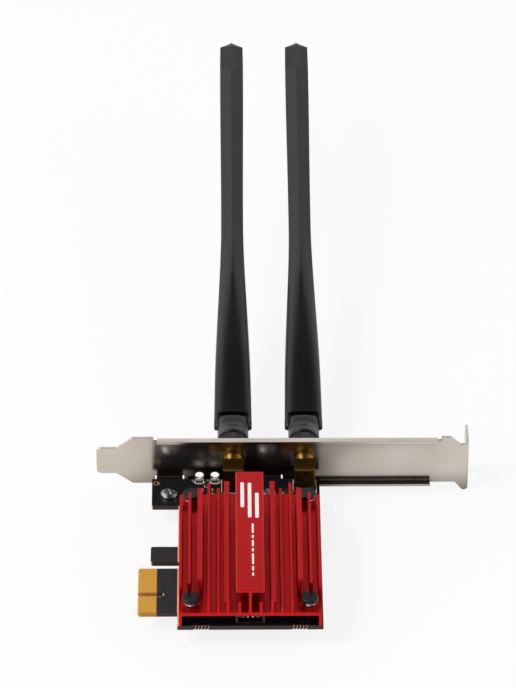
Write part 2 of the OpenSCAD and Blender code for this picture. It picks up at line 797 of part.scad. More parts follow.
// The plug's snout points along +X and is crimped round the lead
module coax_plug() {
    wall = 0.2;
    body_d = 2.8;
    difference() {
        union() {
            translate([0, 0, plug_lift]) cylinder(h = plug_h, d = body_d);
            translate([0, -lead_d / 2 - wall, plug_lift + 0.05])
                cube([snout_l - snout_grip, lead_d + 2 * wall, plug_h - 0.1]);
            translate([body_d / 2 - 0.1, 0, plug_lift + plug_h / 2]) rotate([0, 90, 0])
                cylinder(h = snout_l - body_d / 2 + 0.1, d = lead_d + 2 * wall);
        }
        translate([0, 0, plug_lift - 1]) cylinder(h = 1.9, d = 2.1);
        translate([snout_l - snout_grip, 0, plug_lift + plug_h / 2]) rotate([0, 90, 0])
            cylinder(h = snout_grip + 1, d = lead_d + 0.04);
    }
}

module coax_plugs() {
    color("#cfcfca") for (i = [0:3]) translate(plug_spots[i]) rotate(snout_turn[i]) coax_plug();
}

// Smooth curve through the route's points
function mid(a, b, c, d, t) = 0.5 * ((2 * b) + (c - a) * t + (2 * a - 5 * b + 4 * c - d) * t * t
    + (3 * b - a - 3 * c + d) * t * t * t);
function smooth(p, steps) = let (n = len(p) - 1) concat([for (i = [0:n - 1], k = [0:steps - 1])
    mid(p[max(i - 1, 0)], p[i], p[i + 1], p[min(i + 2, n)], k / steps)], [p[n]]);

// Point on the axis of a plug's snout, out by this much from the plug's middle
function snout_point(i, out) = plug_spots[i] + out * [cos(snout_turn[i]), sin(snout_turn[i]), 0]
    + [0, 0, plug_lift + plug_h / 2];
function bend_point(a, b, bend) = plug_spots[a] + bend[0] * (plug_spots[b] - plug_spots[a]) + bend[1];
function lead_path(a, b, bends) = let (held = snout_l - snout_grip + 0.02, out = snout_l + 0.3)
    concat([snout_point(a, held)],
        smooth(concat([snout_point(a, out)], [for (bend = bends) bend_point(a, b, bend)],
            [snout_point(b, out)]), lead_steps),
        [snout_point(b, held)]);

module left_coax_lead() {
    color("#202022") wire(lead_path(0, 2, left_bends), lead_d);
}

module right_coax_lead() {
    color("#202022") wire(lead_path(1, 3, right_bends), lead_d);
}

// Right-angle aerial socket, a square block on four legs with a threaded barrel
module jack(x) {
    mid_y = (block_y0 + block_y1) / 2;
    half = jack_block / 2;
    color("#c79a3c") difference() {
        union() {
            translate([x - half, block_y0, axis_z - half]) cube([jack_block, jack_block, jack_block]);
            bar_y(x, block_y1 - 0.01, axis_z, jack_d, barrel_end - block_y1 + 0.01);
            for (dx = [-1, 1], dy = [-1, 1])
                translate([x + dx * leg_at, mid_y + dy * leg_at, -board_top - leg_below])
                    cylinder(h = axis_z - half + board_top + leg_below + 0.01, d = leg_d);
        }
        bar_y(x, barrel_end - jack_recess, axis_z, jack_bore, jack_recess + 1);
        bar_y(x, block_y0 + 1, axis_z, core_d + 0.04, barrel_end - block_y0);
        translate([x, mid_y, axis_z - half - 1]) cylinder(h = half + 1, d = 2.2);
    }
}

module jack_insulator(x) {
    mid_y = (block_y0 + block_y1) / 2;
    color("#e9e6dc") difference() {
        bar_y(x, block_y0 + 1.02, axis_z, core_d, barrel_end - jack_recess - block_y0 - 1.02);
        bar_y(x, mid_y, axis_z, contact_d + 0.06, barrel_end - mid_y);
        translate([x, mid_y, axis_z - core_d]) cylinder(h = core_d, d = contact_d + 0.06);
        translate([x, mid_y, axis_z]) sphere(d = contact_d + 0.06);
    }
}

module jack_pin(x) {
    mid_y = (block_y0 + block_y1) / 2;
    color("#d8b25a") {
        bar_y(x, mid_y, axis_z, contact_d, jack_pin_end - mid_y);
        translate([x, mid_y, -board_top - leg_below])
            cylinder(h = axis_z + board_top + leg_below, d = contact_d);
        translate([x, mid_y, axis_z]) sphere(d = contact_d);
    }
}

module left_jack() { jack(jack_xs[0]); }
module right_jack() { jack(jack_xs[1]); }
module left_jack_insulator() { jack_insulator(jack_xs[0]); }
module right_jack_insulator() { jack_insulator(jack_xs[1]); }
module left_jack_pin() { jack_pin(jack_xs[0]); }
module right_jack_pin() { jack_pin(jack_xs[1]); }

module jack_washers() {
    teeth = 12;
    r = nut_af / 2 + 0.7;
    star = [for (i = [0:2 * teeth - 1]) let (a = 180 * i / teeth, q = i % 2 == 0 ? r : r - 0.7)
        [q * cos(a), q * sin(a)]];
    color("#cfc7be") for (x = jack_xs) translate([x, 0, axis_z]) along_y(bracket_y + bracket_t, washer_t)
        difference() {
            polygon(star);
            circle(d = jack_d + 2 * loose_fit);
        }
}

module jack_nuts() {
    across = nut_af / cos(30);
    bevel = 0.4;
    color("#c79a3c") for (x = jack_xs) translate([x, nut_y0, axis_z]) rotate([-90, 0, 0]) difference() {
        intersection() {
            cylinder(h = nut_t, d = across, $fn = 6);
            union() {
                cylinder(h = bevel, d1 = nut_af, d2 = across + 0.2);
                translate([0, 0, bevel]) cylinder(h = nut_t - 2 * bevel, d = across + 0.2);
                translate([0, 0, nut_t - bevel]) cylinder(h = bevel, d1 = across + 0.2, d2 = nut_af);
            }
        }
        translate([0, 0, -1]) cylinder(h = nut_t + 2, d = jack_d + loose_fit);
    }
}

// Four-pin cable header on the front edge
module header_shell() {
    wall = 0.8;
    front = board_y0 + header_back;
    color("#26262a") difference() {
        translate([board_cx - header_w / 2, front, board_top]) cube([header_w, header_d, header_h]);
        translate([board_cx - header_w / 2 + wall, front - 1, board_top + wall])
            cube([header_w - 2 * wall, header_d - wall + 1, header_h - 2 * wall]);
        for (i = [0:header_n - 1]) translate([header_x(i) - 0.3, front, header_z - 0.3])
            cube([0.6, header_d + 1, 0.6]);
        translate([board_cx - 1.6, front - 1, board_top + header_h - wall - 0.1])
            cube([3.2, 2.2, wall + 1]);
    }
}

module header_pins() {
    pin = 0.5;
    tip_in = 0.9;
    front = board_y0 + header_back;
    color("#e8e4da") for (i = [0:header_n - 1]) translate([header_x(i) - pin / 2, 0, 0]) {
        translate([0, front + tip_in, header_z - pin / 2])
            cube([pin, header_pin_y - front - tip_in + pin / 2, pin]);
        translate([0, header_pin_y - pin / 2, -board_top - 0.7])
            cube([pin, pin, header_z + board_top + 0.7]);
    }
}

// Small parts soldered to the board
module chip(x, y, l, w, h) {
    translate([x - l / 2, y - w / 2, board_top]) cube([l, w, h]);
}

module status_lights() {
    color("#f2efd8") for (x = light_x) {
        chip(x, board_y1 - 0.6, block_l, block_w, chip_h);
        translate([x - 0.5, board_y1 - 1, board_top + 0.34]) cube([1, 0.8, 0.3]);
    }
}

module chip_resistors() {
    color("#3a3a3e") for (spot = resistor_spots) chip(spot[0], spot[1], chip_l, chip_w, chip_h);
}

module chip_capacitors() {
    color("#b89a70") for (spot = capacitor_spots)
        chip(spot[0], spot[1], block_l, block_w, block_w);
}

// Knurled coupling nut of an aerial
module ring_nut(x) {
    r = ring_d / 2;
    l = ring_y1 - ring_y0;
    bevel = 0.5;
    over = 0.1;
    teeth = [for (i = [0:2 * knurl_n - 1]) let (a = 180 * i / knurl_n, q = i % 2 == 0 ? r : r - knurl_d)
        [q * cos(a), q * sin(a)]];
    color("#2a2a2c") translate([x, ring_y0, axis_z]) rotate([-90, 0, 0]) difference() {
        intersection() {
            linear_extrude(l) polygon(teeth);
            union() {
                cylinder(h = bevel + over, r1 = r - bevel, r2 = r + over);
                translate([0, 0, bevel + over]) cylinder(h = l - 2 * (bevel + over), r = r + over);
                translate([0, 0, l - bevel - over]) cylinder(h = bevel + over, r1 = r + over, r2 = r - bevel);
            }
        }
        translate([0, 0, -1]) cylinder(h = l - ring_lip + 1, d = jack_d + 2 * run_fit);
        cylinder(h = l + 1, d = neck_d + 2 * run_fit);
    }
}

// Brass plug of an aerial, held by the lip of its nut and free to turn
module plug(x) {
    nose_d = jack_bore - 2 * run_fit;
    start = barrel_end - jack_recess + 0.2;
    flange_y = barrel_end + 0.1;
    neck_y = flange_y + plug_flange;
    color("#c79a3c") difference() {
        union() {
            bar_y(x, start, axis_z, nose_d, flange_y - start + 0.01);
            bar_y(x, flange_y, axis_z, jack_d - 0.3, plug_flange);
            bar_y(x, neck_y - 0.01, axis_z, neck_d, knuckle_y0 - neck_y + 0.01);
            bar_y(x, knuckle_y0 - 0.01, axis_z, stem_d, stem_l + 0.01);
        }
        bar_y(x, start - 1, axis_z, plug_core_d + 0.04, knuckle_y0 - start + 1);
    }
}

module plug_insulator(x) {
    color("#e9e6dc") difference() {
        bar_y(x, plug_start, axis_z, plug_core_d, knuckle_y0 - plug_start - 0.02);
        bar_y(x, plug_start - 1, axis_z, socket_od + 0.04, socket_l + 1.02);
    }
}

module plug_socket(x) {
    color("#d8b25a") difference() {
        bar_y(x, plug_start, axis_z, socket_od, socket_l);
        bar_y(x, plug_start - 1, axis_z, contact_d + 2 * run_fit, socket_depth + 1);
    }
}

// Swivel body of an aerial, round up to the fork and flattened to an eye round the hinge
module knuckle(x) {
    half = knuckle_d / 2;
    hub = hinge_at - knuckle_y0;
    rim = 0.4;
    shoulder_r = 1.2;
    dome_r = 4.2;
    color("#242426") translate([x, knuckle_y0, axis_z]) difference() {
        union() {
            rotate([-90, 0, 0]) rotate_extrude() difference() {
                polygon([[0, 0], [half - rim, 0], [half, rim], [half, knuckle_l], [0, knuckle_l]]);
                translate([half, knuckle_l]) scale([-1, -1]) corner_off(shoulder_r);
            }
            intersection() {
                along_x(-half, knuckle_d) {
                    translate([knuckle_l - 3, -eye_r]) square([hub - knuckle_l + 3, 2 * eye_r]);
                    translate([hub, 0]) circle(eye_r);
                }
                translate([0, 0, -half]) linear_extrude(knuckle_d) difference() {
                    translate([-half, 0]) square([knuckle_d, hub + eye_r]);
                    for (s = [-1, 1]) translate([s * half, hub + eye_r]) scale([-s, -1])
                        corner_off(dome_r);
                }
                rotate([-90, 0, 0]) cylinder(h = hub + half, d = knuckle_d - 0.02);
            }
        }
        rotate([-90, 0, 0]) translate([0, 0, -1]) cylinder(h = stem_l + 1.02, d = stem_d + 0.04);
        for (s = [0, 1]) mirror([s, 0, 0]) translate([half - pin_bite, hub, 0]) rotate([0, 90, 0])
            cylinder(h = pin_bite + 1, d = hinge_pin_d + 2 * run_fit);
    }
}

// Places a piece in the blade's own frame, with the hinge at the origin and the tip along +Y
module at_hinge(x) {
    translate([x, hinge_at, axis_z]) rotate([rest_tilt, 0, 0]) children();
}

module hinge_pins(x) {
    color("#3a3a3c") at_hinge(x) for (s = [0, 1]) mirror([s, 0, 0])
        translate([fork_w / 2 - hinge_pin_l, 0, 0]) rotate([0, 90, 0])
            cylinder(h = hinge_pin_l, d = hinge_pin_d);
}

// Half-width and half-thickness of the blade at the fraction t of its length, and how ridged it is
function ease(t) = let (q = min(1, max(0, t))) q * q * (3 - 2 * q);
function half_w(t) = t < 0.5
    ? fork_w / 2 + (waist_w - fork_w) / 2 * (0.45 * t / 0.5 + 0.55 * ease((t - 0.1) / 0.4))
    : waist_w / 2 + (tip_w - waist_w) / 2 * ease((t - 0.55) / 0.4);
function half_t(t) = t < 0.2 ? fork_r + (blade_t / 2 - fork_r) * ease(t / 0.2)
    : blade_t / 2 + (tip_t - blade_t) / 2 * ease((t - 0.2) / 0.4);
function ridged(t) = ease((t - 0.12) / 0.4);

// One quarter of a section runs from the side to the ridge in this many steps
quarter = 6;
function quarter_point(i, w, h, k) = let (a = 90 * i / quarter, n = 0.55,
        round_x = w * pow(cos(a), n), round_z = h * pow(sin(a), n),
        ridge_x = i < 1 ? w : w * (quarter - i) / (quarter - 1),
        ridge_z = i < 1 ? 0 : h * (0.38 + 0.62 * (i - 1) / (quarter - 1)))
    [round_x + k * (ridge_x - round_x), round_z + k * (ridge_z - round_z)];
function section_point(j, w, h, k) = let (q = floor(j / quarter), i = j % quarter,
        p = quarter_point(q % 2 == 0 ? i : quarter - i, w, h, k))
    [(q == 0 || q == 3) ? p[0] : -p[0], q < 2 ? p[1] : -p[1]];
function section_at(y, w, h, k) = [for (j = [0:4 * quarter - 1]) let (p = section_point(j, w, h, k))
    [p[0], y, p[1]]];

module blade_form() {
    body_l = blade_l - tip_l;
    steps = 22;
    n = 4 * quarter;
    rings = concat([for (i = [0:steps]) let (t = i / steps)
            section_at(body_l * t, half_w(t), half_t(t), ridged(t))],
        [section_at(blade_l - tip_l * 0.22, half_w(1) * 0.98, half_t(1) * 0.42, 1),
            section_at(blade_l, half_w(1) * 0.12, half_t(1) * 0.25, 1)]);
    count = len(rings);
    skin = [for (i = [0:count - 2], j = [0:n - 1]) let (a = i * n + j, b = i * n + (j + 1) % n)
        each [[a, b, b + n], [a, b + n, a + n]]];
    start_cap = [[for (j = [0:n - 1]) n - 1 - j]];
    tip_cap = [[for (j = [0:n - 1]) (count - 1) * n + j]];
    polyhedron([for (r = rings) each r], concat(skin, start_cap, tip_cap));
}

module blade(x) {
    color("#1f1f21") at_hinge(x) difference() {
        union() {
            blade_form();
            along_x(-fork_w / 2, fork_w) circle(fork_r);
        }
        translate([-slot_w / 2, -2 * fork_r, -blade_t]) cube([slot_w, 2 * fork_r + slot_end, 2 * blade_t]);
        rotate([0, 90, 0]) cylinder(h = fork_w + 2, d = hinge_pin_d + 0.04, center = true);
        for (s = [-1, 1]) translate([s * fork_w / 2, -fork_r, -blade_t]) linear_extrude(2 * blade_t)
            scale([-s, 1]) corner_off(arm_end_r);
        bar_y(0, slot_end - 1, 0, 2 * bore_r, blade_l - tip_l - slot_end - 3);
    }
}

// Brass sleeve and feed wire inside a blade
module radiator(x) {
    color("#c79a3c") at_hinge(x) difference() {
        bar_y(0, sleeve_y, 0, 2 * bore_r - 0.1, sleeve_l);
        bar_y(0, sleeve_y - 1, 0, feed_d + 0.04, sleeve_l + 2);
    }
}

module feed_lead(x) {
    start = slot_end + 0.1;
    color("#3a2b20") at_hinge(x) bar_y(0, start, 0, feed_d, sleeve_y + 2 * sleeve_l - start);
}

module left_ring_nut() { ring_nut(jack_xs[0]); }
module right_ring_nut() { ring_nut(jack_xs[1]); }
module left_plug() { plug(jack_xs[0]); }
module right_plug() { plug(jack_xs[1]); }
module left_plug_insulator() { plug_insulator(jack_xs[0]); }
module right_plug_insulator() { plug_insulator(jack_xs[1]); }
module left_plug_socket() { plug_socket(jack_xs[0]); }
module right_plug_socket() { plug_socket(jack_xs[1]); }
module left_knuckle() { knuckle(jack_xs[0]); }
module right_knuckle() { knuckle(jack_xs[1]); }
module left_hinge_pin() { hinge_pins(jack_xs[0]); }
module right_hinge_pin() { hinge_pins(jack_xs[1]); }
module left_blade() { blade(jack_xs[0]); }
module right_blade() { blade(jack_xs[1]); }
module left_radiator() { radiator(jack_xs[0]); }
module right_radiator() { radiator(jack_xs[1]); }
module left_feed_lead() { feed_lead(jack_xs[0]); }
module right_feed_lead() { feed_lead(jack_xs[1]); }

circuit_board();
edge_contacts_top();
edge_contacts_bottom();
bracket();
bracket_screws();
heatsink();
thermal_pad();
push_pins();
push_pin_springs();
radio_module();
radio_can();
module_socket();
socket_contacts();
module_standoff();
module_screw();
coax_jacks();
coax_plugs();
left_coax_lead();
right_coax_lead();
left_jack();
right_jack();
left_jack_insulator();
right_jack_insulator();
left_jack_pin();
right_jack_pin();
jack_washers();
jack_nuts();
header_shell();
header_pins();
status_lights();
chip_resistors();
chip_capacitors();
left_ring_nut();
right_ring_nut();
left_plug();
right_plug();
left_plug_insulator();
right_plug_insulator();
left_plug_socket();
right_plug_socket();
left_knuckle();
right_knuckle();
left_hinge_pin();
right_hinge_pin();
left_blade();
right_blade();
left_radiator();
right_radiator();
left_feed_lead();
right_feed_lead();
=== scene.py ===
"""Looks of a wireless network card with a red heatsink, a slot bracket and two stick aerials."""

from math import cos, pi, radians, sin, sqrt

import bmesh
import bpy
from mathutils import Matrix, Vector


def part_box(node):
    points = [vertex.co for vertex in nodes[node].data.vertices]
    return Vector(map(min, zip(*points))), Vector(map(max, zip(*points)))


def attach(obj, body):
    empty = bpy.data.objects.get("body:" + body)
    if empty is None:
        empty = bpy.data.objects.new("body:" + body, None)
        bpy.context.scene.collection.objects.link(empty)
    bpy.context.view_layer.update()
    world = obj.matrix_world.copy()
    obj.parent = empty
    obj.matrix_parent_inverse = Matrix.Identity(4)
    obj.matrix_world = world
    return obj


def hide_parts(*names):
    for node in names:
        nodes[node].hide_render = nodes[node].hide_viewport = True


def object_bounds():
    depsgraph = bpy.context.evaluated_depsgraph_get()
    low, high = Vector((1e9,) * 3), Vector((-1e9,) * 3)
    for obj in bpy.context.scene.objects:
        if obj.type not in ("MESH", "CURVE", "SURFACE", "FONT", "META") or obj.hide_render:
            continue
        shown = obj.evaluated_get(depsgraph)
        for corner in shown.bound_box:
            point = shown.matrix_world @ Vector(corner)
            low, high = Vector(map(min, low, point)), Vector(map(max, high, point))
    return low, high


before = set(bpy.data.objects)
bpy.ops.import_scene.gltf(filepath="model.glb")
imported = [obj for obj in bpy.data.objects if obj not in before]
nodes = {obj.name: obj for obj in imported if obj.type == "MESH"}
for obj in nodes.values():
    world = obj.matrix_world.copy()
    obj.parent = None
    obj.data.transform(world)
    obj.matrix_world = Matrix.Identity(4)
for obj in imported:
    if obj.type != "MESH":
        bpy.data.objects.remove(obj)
cad_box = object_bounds()
MM = 0.001

# The camera looks down on the component side from in front, with a long lens from over a metre away,
# so the bracket and the aerials hardly converge, as in the photograph.
camera_data = bpy.data.cameras.new("camera")
camera_data.lens = 225.9
camera_data.sensor_width = 36
camera_data.clip_end = 20
camera = bpy.data.objects.new("camera", camera_data)
camera_place = Vector((29.0, -1022.3, 881.9)) * MM
look_down, look_right, lean = radians(37.437), radians(0.470), radians(0.095)
camera.matrix_world = (Matrix.Translation(camera_place) @ Matrix.Rotation(-look_right, 4, "Z")
                       @ Matrix.Rotation(pi / 2 - look_down, 4, "X") @ Matrix.Rotation(lean, 4, "Z"))
bpy.context.scene.collection.objects.link(camera)
bpy.context.scene.camera = camera
bpy.context.scene.view_settings.view_transform = "Standard"

# The floor is a plain pale sheet just under the card, and it keeps the card's shadow. The camera sees it
# nearly white, and metal mirrors a part of that white. Right under the board a painted shadow darkens the
# paper and takes its glow away.
floor_reach, floor_gap_mm = 4.0, 0.2
seen_white, mirrored_white = 0.85, 0.25
painted_shadow_middle, painted_shadow_half = (35, 30), (22, 33)


def linear(code):
    """One sRGB hex colour as the linear values that a shader takes."""
    parts = [int(code[i:i + 2], 16) / 255 for i in (1, 3, 5)]
    return [p / 12.92 if p <= 0.04045 else ((p + 0.055) / 1.055) ** 2.4 for p in parts] + [1.0]


def add(owner, kind, put=None, **settings):
    """Adds a node with its settings. put gives its inputs, by name or number, as values or as sockets to
    link. A Mix of colours takes its share in 0 and its colours in 6 and 7, and gives output 2."""
    tree = owner.node_tree
    node = tree.nodes.new(kind)
    for name, value in settings.items():
        setattr(node, name, value)
    for socket, value in (put or {}).items():
        if isinstance(value, bpy.types.NodeSocket):
            tree.links.new(value, node.inputs[socket])
        else:
            node.inputs[socket].default_value = value
    return node


def blank(name):
    """A new material with an empty node tree."""
    material = bpy.data.materials.new(name)
    material.use_nodes = True
    material.node_tree.nodes.clear()
    return material


paper = blank("pale_paper_floor")
path = add(paper, "ShaderNodeLightPath")
glow = add(paper, "ShaderNodeEmission", {"Color": linear("#FFFFFF"), "Strength": 1.0})
mirrored = add(paper, "ShaderNodeMath", {0: path.outputs["Is Glossy Ray"], 1: mirrored_white},
               operation="MULTIPLY")
seen = add(paper, "ShaderNodeMath", {0: path.outputs["Is Camera Ray"], 1: seen_white,
           2: mirrored.outputs[0]}, operation="MULTIPLY_ADD")
floor_place = add(paper, "ShaderNodeTexCoord")
from_middle = add(paper, "ShaderNodeVectorMath", {0: floor_place.outputs["Object"],
                  1: [d * MM for d in painted_shadow_middle] + [0]}, operation="SUBTRACT")
share = add(paper, "ShaderNodeVectorMath", {0: from_middle.outputs[0],
            1: [1 / (d * MM) for d in painted_shadow_half] + [0]}, operation="MULTIPLY")
shares = add(paper, "ShaderNodeVectorMath", {0: share.outputs[0]}, operation="ABSOLUTE")
split = add(paper, "ShaderNodeSeparateXYZ", {0: shares.outputs[0]})
outside = add(paper, "ShaderNodeMath", {0: split.outputs["X"], 1: split.outputs["Y"]},
              operation="MAXIMUM")
# Painted shadow: inside this box under the board the paper is painted dark grey and loses its white glow.
outside_painted_shadow = add(paper, "ShaderNodeMapRange", {"Value": outside.outputs[0], "From Min": 0.8,
               "From Max": 1.0})
glow_share = add(paper, "ShaderNodeMath", {0: seen.outputs[0], 1: outside_painted_shadow.outputs[0]},
                 operation="MULTIPLY")
paper_and_painted_shadow = add(paper, "ShaderNodeMix", {0: outside_painted_shadow.outputs[0], 6: linear("#5A5856"),
                 7: linear("#F2F1EF")}, data_type="RGBA")
lit = add(paper, "ShaderNodeBsdfDiffuse", {"Color": paper_and_painted_shadow.outputs[2]})
both = add(paper, "ShaderNodeMixShader", {0: glow_share.outputs[0], 1: lit.outputs[0],
           2: glow.outputs[0]})
add(paper, "ShaderNodeOutputMaterial", {"Surface": both.outputs[0]})

floor_mesh = bpy.data.meshes.new("floor")
floor_z = cad_box[0][2] - floor_gap_mm * MM
floor_mesh.from_pydata([(sx * floor_reach, sy * floor_reach, floor_z) for sx, sy in
                        ((-1, -1), (1, -1), (1, 1), (-1, 1))], [], [(0, 1, 2, 3)])
floor_mesh.materials.append(paper)
floor = bpy.data.objects.new("floor", floor_mesh)
bpy.context.scene.collection.objects.link(floor)

# The room is dim, with a bright panel on the left, a softer one on the right and a low white wall behind,
# as in a studio tent. The camera and see-through pieces get plain white in its place.
panel_greys = ((0.0, 0.8), (0.12, 1.2), (0.22, 1.6), (0.32, 0.9), (0.4, 0.15), (0.5, 0.05), (0.62, 0.08),
               (0.72, 0.35), (0.8, 0.65), (1.0, 0.6))
room = bpy.data.worlds.new("dim_room_with_side_panels")
room.use_nodes = True
room.node_tree.nodes.clear()
path = add(room, "ShaderNodeLightPath")
shown = add(room, "ShaderNodeMath", {0: path.outputs["Is Camera Ray"],
            1: path.outputs["Is Transmission Ray"]}, operation="MAXIMUM")
direction = add(room, "ShaderNodeTexCoord")
axes = add(room, "ShaderNodeSeparateXYZ", {0: direction.outputs["Generated"]})
sideways = add(room, "ShaderNodeMapRange", {"Value": axes.outputs["X"], "From Min": -1.0})
panels = add(room, "ShaderNodeValToRGB", {0: sideways.outputs[0]})
for spot, grey in panel_greys:
    stop = panels.color_ramp.elements.new(spot) if 0 < spot < 1 else panels.color_ramp.elements[int(spot)]
    stop.color = (grey, grey, grey, 1.0)
behind = add(room, "ShaderNodeMapRange", {"Value": axes.outputs["Y"], "From Min": 0.3, "From Max": 0.5})
under_top = add(room, "ShaderNodeMapRange", {"Value": axes.outputs["Z"], "From Min": 0.64,
                "From Max": 0.7, "To Min": 1.0, "To Max": 0.0})
wall = add(room, "ShaderNodeMath", {0: behind.outputs[0], 1: under_top.outputs[0]},
           operation="MULTIPLY")
room_light = add(room, "ShaderNodeMix", {0: 1.0, 6: panels.outputs[0], 7: wall.outputs[0]},
                 data_type="RGBA", blend_type="LIGHTEN")
dim = add(room, "ShaderNodeBackground", {"Color": room_light.outputs[2], "Strength": 1.0})
plain = add(room, "ShaderNodeBackground", {"Color": linear("#FFFFFF"), "Strength": 1.0})
around = add(room, "ShaderNodeMixShader", {0: shown.outputs[0], 1: dim.outputs[0], 2: plain.outputs[0]})
add(room, "ShaderNodeOutputWorld", {"Surface": around.outputs[0]})
bpy.context.scene.world = room

# Two square studio lamps stand at the sides, the left one as the key light and the right one to fill in.
# Both are turned to the card's middle.
card_middle = (0.045, 0.08, 0.0)


def soft_box(name, place, target, size, watts):
    """A square studio lamp at place, turned to face target."""
    data = bpy.data.lights.new(name, "AREA")
    data.size = size
    data.energy = watts
    lamp = bpy.data.objects.new(name, data)
    lamp.location = place
    lamp.rotation_euler = (Vector(target) - Vector(place)).to_track_quat("-Z", "Y").to_euler()
    bpy.context.scene.collection.objects.link(lamp)


soft_box("key_light", (-0.75, -0.15, 0.95), card_middle, 0.5, 7.5)
soft_box("fill_light", (0.95, 0.05, 0.5), card_middle, 0.5, 1.6)

# The circuit board is fibreglass laminate under black solder mask, drilled and routed to shape.
# The mask is glossy and shows copper tracks as faint ridges. The cut edges are bare laminate, painted light
# tan where they face left towards the key lamp and dark brown elsewhere, partly their own colour and partly
# painted light and shade. The mask leaves the contacts and one thin strip open.
track_pitch_mm, cell_tracks, laminate_grain_mm = 1.1, 2.2, 0.5
strip_x0, strip_x1, strip_y1 = 12.3, 12.95, 43.4
contacts_end, contacts_y1 = 5.9, 14


def shade(material, node_names):
    """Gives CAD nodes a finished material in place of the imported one."""
    for name in node_names:
        mesh_object = nodes[name]
        mesh_object.data.materials.clear()
        mesh_object.data.materials.append(material)


solder_mask = blank("black_solder_mask_fr4")
place = add(solder_mask, "ShaderNodeTexCoord")
rounding = add(solder_mask, "ShaderNodeBevel", {"Radius": 0.08 * MM}, samples=4)
facing = add(solder_mask, "ShaderNodeNewGeometry")
way = add(solder_mask, "ShaderNodeSeparateXYZ", {0: facing.outputs["True Normal"]})
upright = add(solder_mask, "ShaderNodeMath", {0: way.outputs["Z"]}, operation="ABSOLUTE")
is_edge = add(solder_mask, "ShaderNodeMath", {0: upright.outputs[0], 1: 0.5}, operation="LESS_THAN")
tracks = add(solder_mask, "ShaderNodeTexVoronoi", {"Vector": place.outputs["Object"],
             "Scale": 1 / (track_pitch_mm * cell_tracks * MM), "Randomness": 0.85},
             feature="DISTANCE_TO_EDGE", distance="CHEBYCHEV")
track_edge = add(solder_mask, "ShaderNodeMapRange", {"Value": tracks.outputs["Distance"],
                 "From Min": 0.03, "From Max": 0.07, "To Min": 1.0, "To Max": 0.0})
grain = add(solder_mask, "ShaderNodeTexNoise", {"Vector": place.outputs["Object"],
            "Scale": 1 / (laminate_grain_mm * MM)})
mask_colour = add(solder_mask, "ShaderNodeMix", {0: track_edge.outputs[0], 6: linear("#131418"),
                  7: linear("#1D1F25")}, data_type="RGBA")
# Painted light and shade: edges that face left, towards the key lamp, get the light tan and the rest the
# dark brown.
dark_edge_and_shade_colour = add(solder_mask, "ShaderNodeMix", {0: grain.outputs["Fac"], 6: linear("#332A26"),
                  7: linear("#4C3F38")}, data_type="RGBA")
tan_laminate_and_light_colour = add(solder_mask, "ShaderNodeMix", {0: grain.outputs["Fac"], 6: linear("#D0A67E"),
                    7: linear("#E8C3A0")}, data_type="RGBA")
leftward = add(solder_mask, "ShaderNodeMath", {0: way.outputs["X"], 1: -0.5}, operation="LESS_THAN")
bare_edge_with_painted_light = add(solder_mask, "ShaderNodeMix", {0: leftward.outputs[0], 6: dark_edge_and_shade_colour.outputs[2],
                 7: tan_laminate_and_light_colour.outputs[2]}, data_type="RGBA")
# Painted light: plated edges that face left get the lighter gold.
plated_edge_with_painted_light = add(solder_mask, "ShaderNodeMix", {0: leftward.outputs[0], 6: linear("#C08A48"),
                  7: linear("#D0A850")}, data_type="RGBA")
spot = add(solder_mask, "ShaderNodeSeparateXYZ", {0: place.outputs["Object"]})
past = add(solder_mask, "ShaderNodeMath", {0: spot.outputs["X"], 1: strip_x0 * MM},
           operation="GREATER_THAN")
short_of = add(solder_mask, "ShaderNodeMath", {0: spot.outputs["X"], 1: strip_x1 * MM},
               operation="LESS_THAN")
below = add(solder_mask, "ShaderNodeMath", {0: spot.outputs["Y"], 1: strip_y1 * MM},
            operation="LESS_THAN")
across = add(solder_mask, "ShaderNodeMath", {0: past.outputs[0], 1: short_of.outputs[0]},
             operation="MULTIPLY")
bare = add(solder_mask, "ShaderNodeMath", {0: across.outputs[0], 1: below.outputs[0]},
           operation="MULTIPLY")
opened = add(solder_mask, "ShaderNodeMath", {0: spot.outputs["X"], 1: contacts_end * MM},
             operation="LESS_THAN")
ahead = add(solder_mask, "ShaderNodeMath", {0: spot.outputs["Y"], 1: contacts_y1 * MM},
            operation="LESS_THAN")
window = add(solder_mask, "ShaderNodeMath", {0: opened.outputs[0], 1: ahead.outputs[0]},
             operation="MULTIPLY")
masked = add(solder_mask, "ShaderNodeMix", {0: window.outputs[0], 6: mask_colour.outputs[2],
             7: linear("#C9942F")}, data_type="RGBA")
edge_colour = add(solder_mask, "ShaderNodeMix", {0: window.outputs[0], 6: bare_edge_with_painted_light.outputs[2],
                  7: plated_edge_with_painted_light.outputs[2]}, data_type="RGBA")
face_colour = add(solder_mask, "ShaderNodeMix", {0: bare.outputs[0], 6: masked.outputs[2],
                  7: tan_laminate_and_light_colour.outputs[2]}, data_type="RGBA")
board_colour = add(solder_mask, "ShaderNodeMix", {0: is_edge.outputs[0], 6: face_colour.outputs[2],
                   7: edge_colour.outputs[2]}, data_type="RGBA")
board_rough = add(solder_mask, "ShaderNodeMapRange", {"Value": is_edge.outputs[0], "To Min": 0.3,
                  "To Max": 0.75})
relief = add(solder_mask, "ShaderNodeBump", {"Height": track_edge.outputs[0], "Distance": 0.03 * MM,
             "Strength": 0.6, "Normal": rounding.outputs[0]})
shader = add(solder_mask, "ShaderNodeBsdfPrincipled", {"Base Color": board_colour.outputs[2],
             "Roughness": board_rough.outputs[0], "IOR": 1.38, "Normal": relief.outputs[0]})
add(solder_mask, "ShaderNodeOutputMaterial", {"Surface": shader.outputs[0]})
shade(solder_mask, ["circuit_board"])

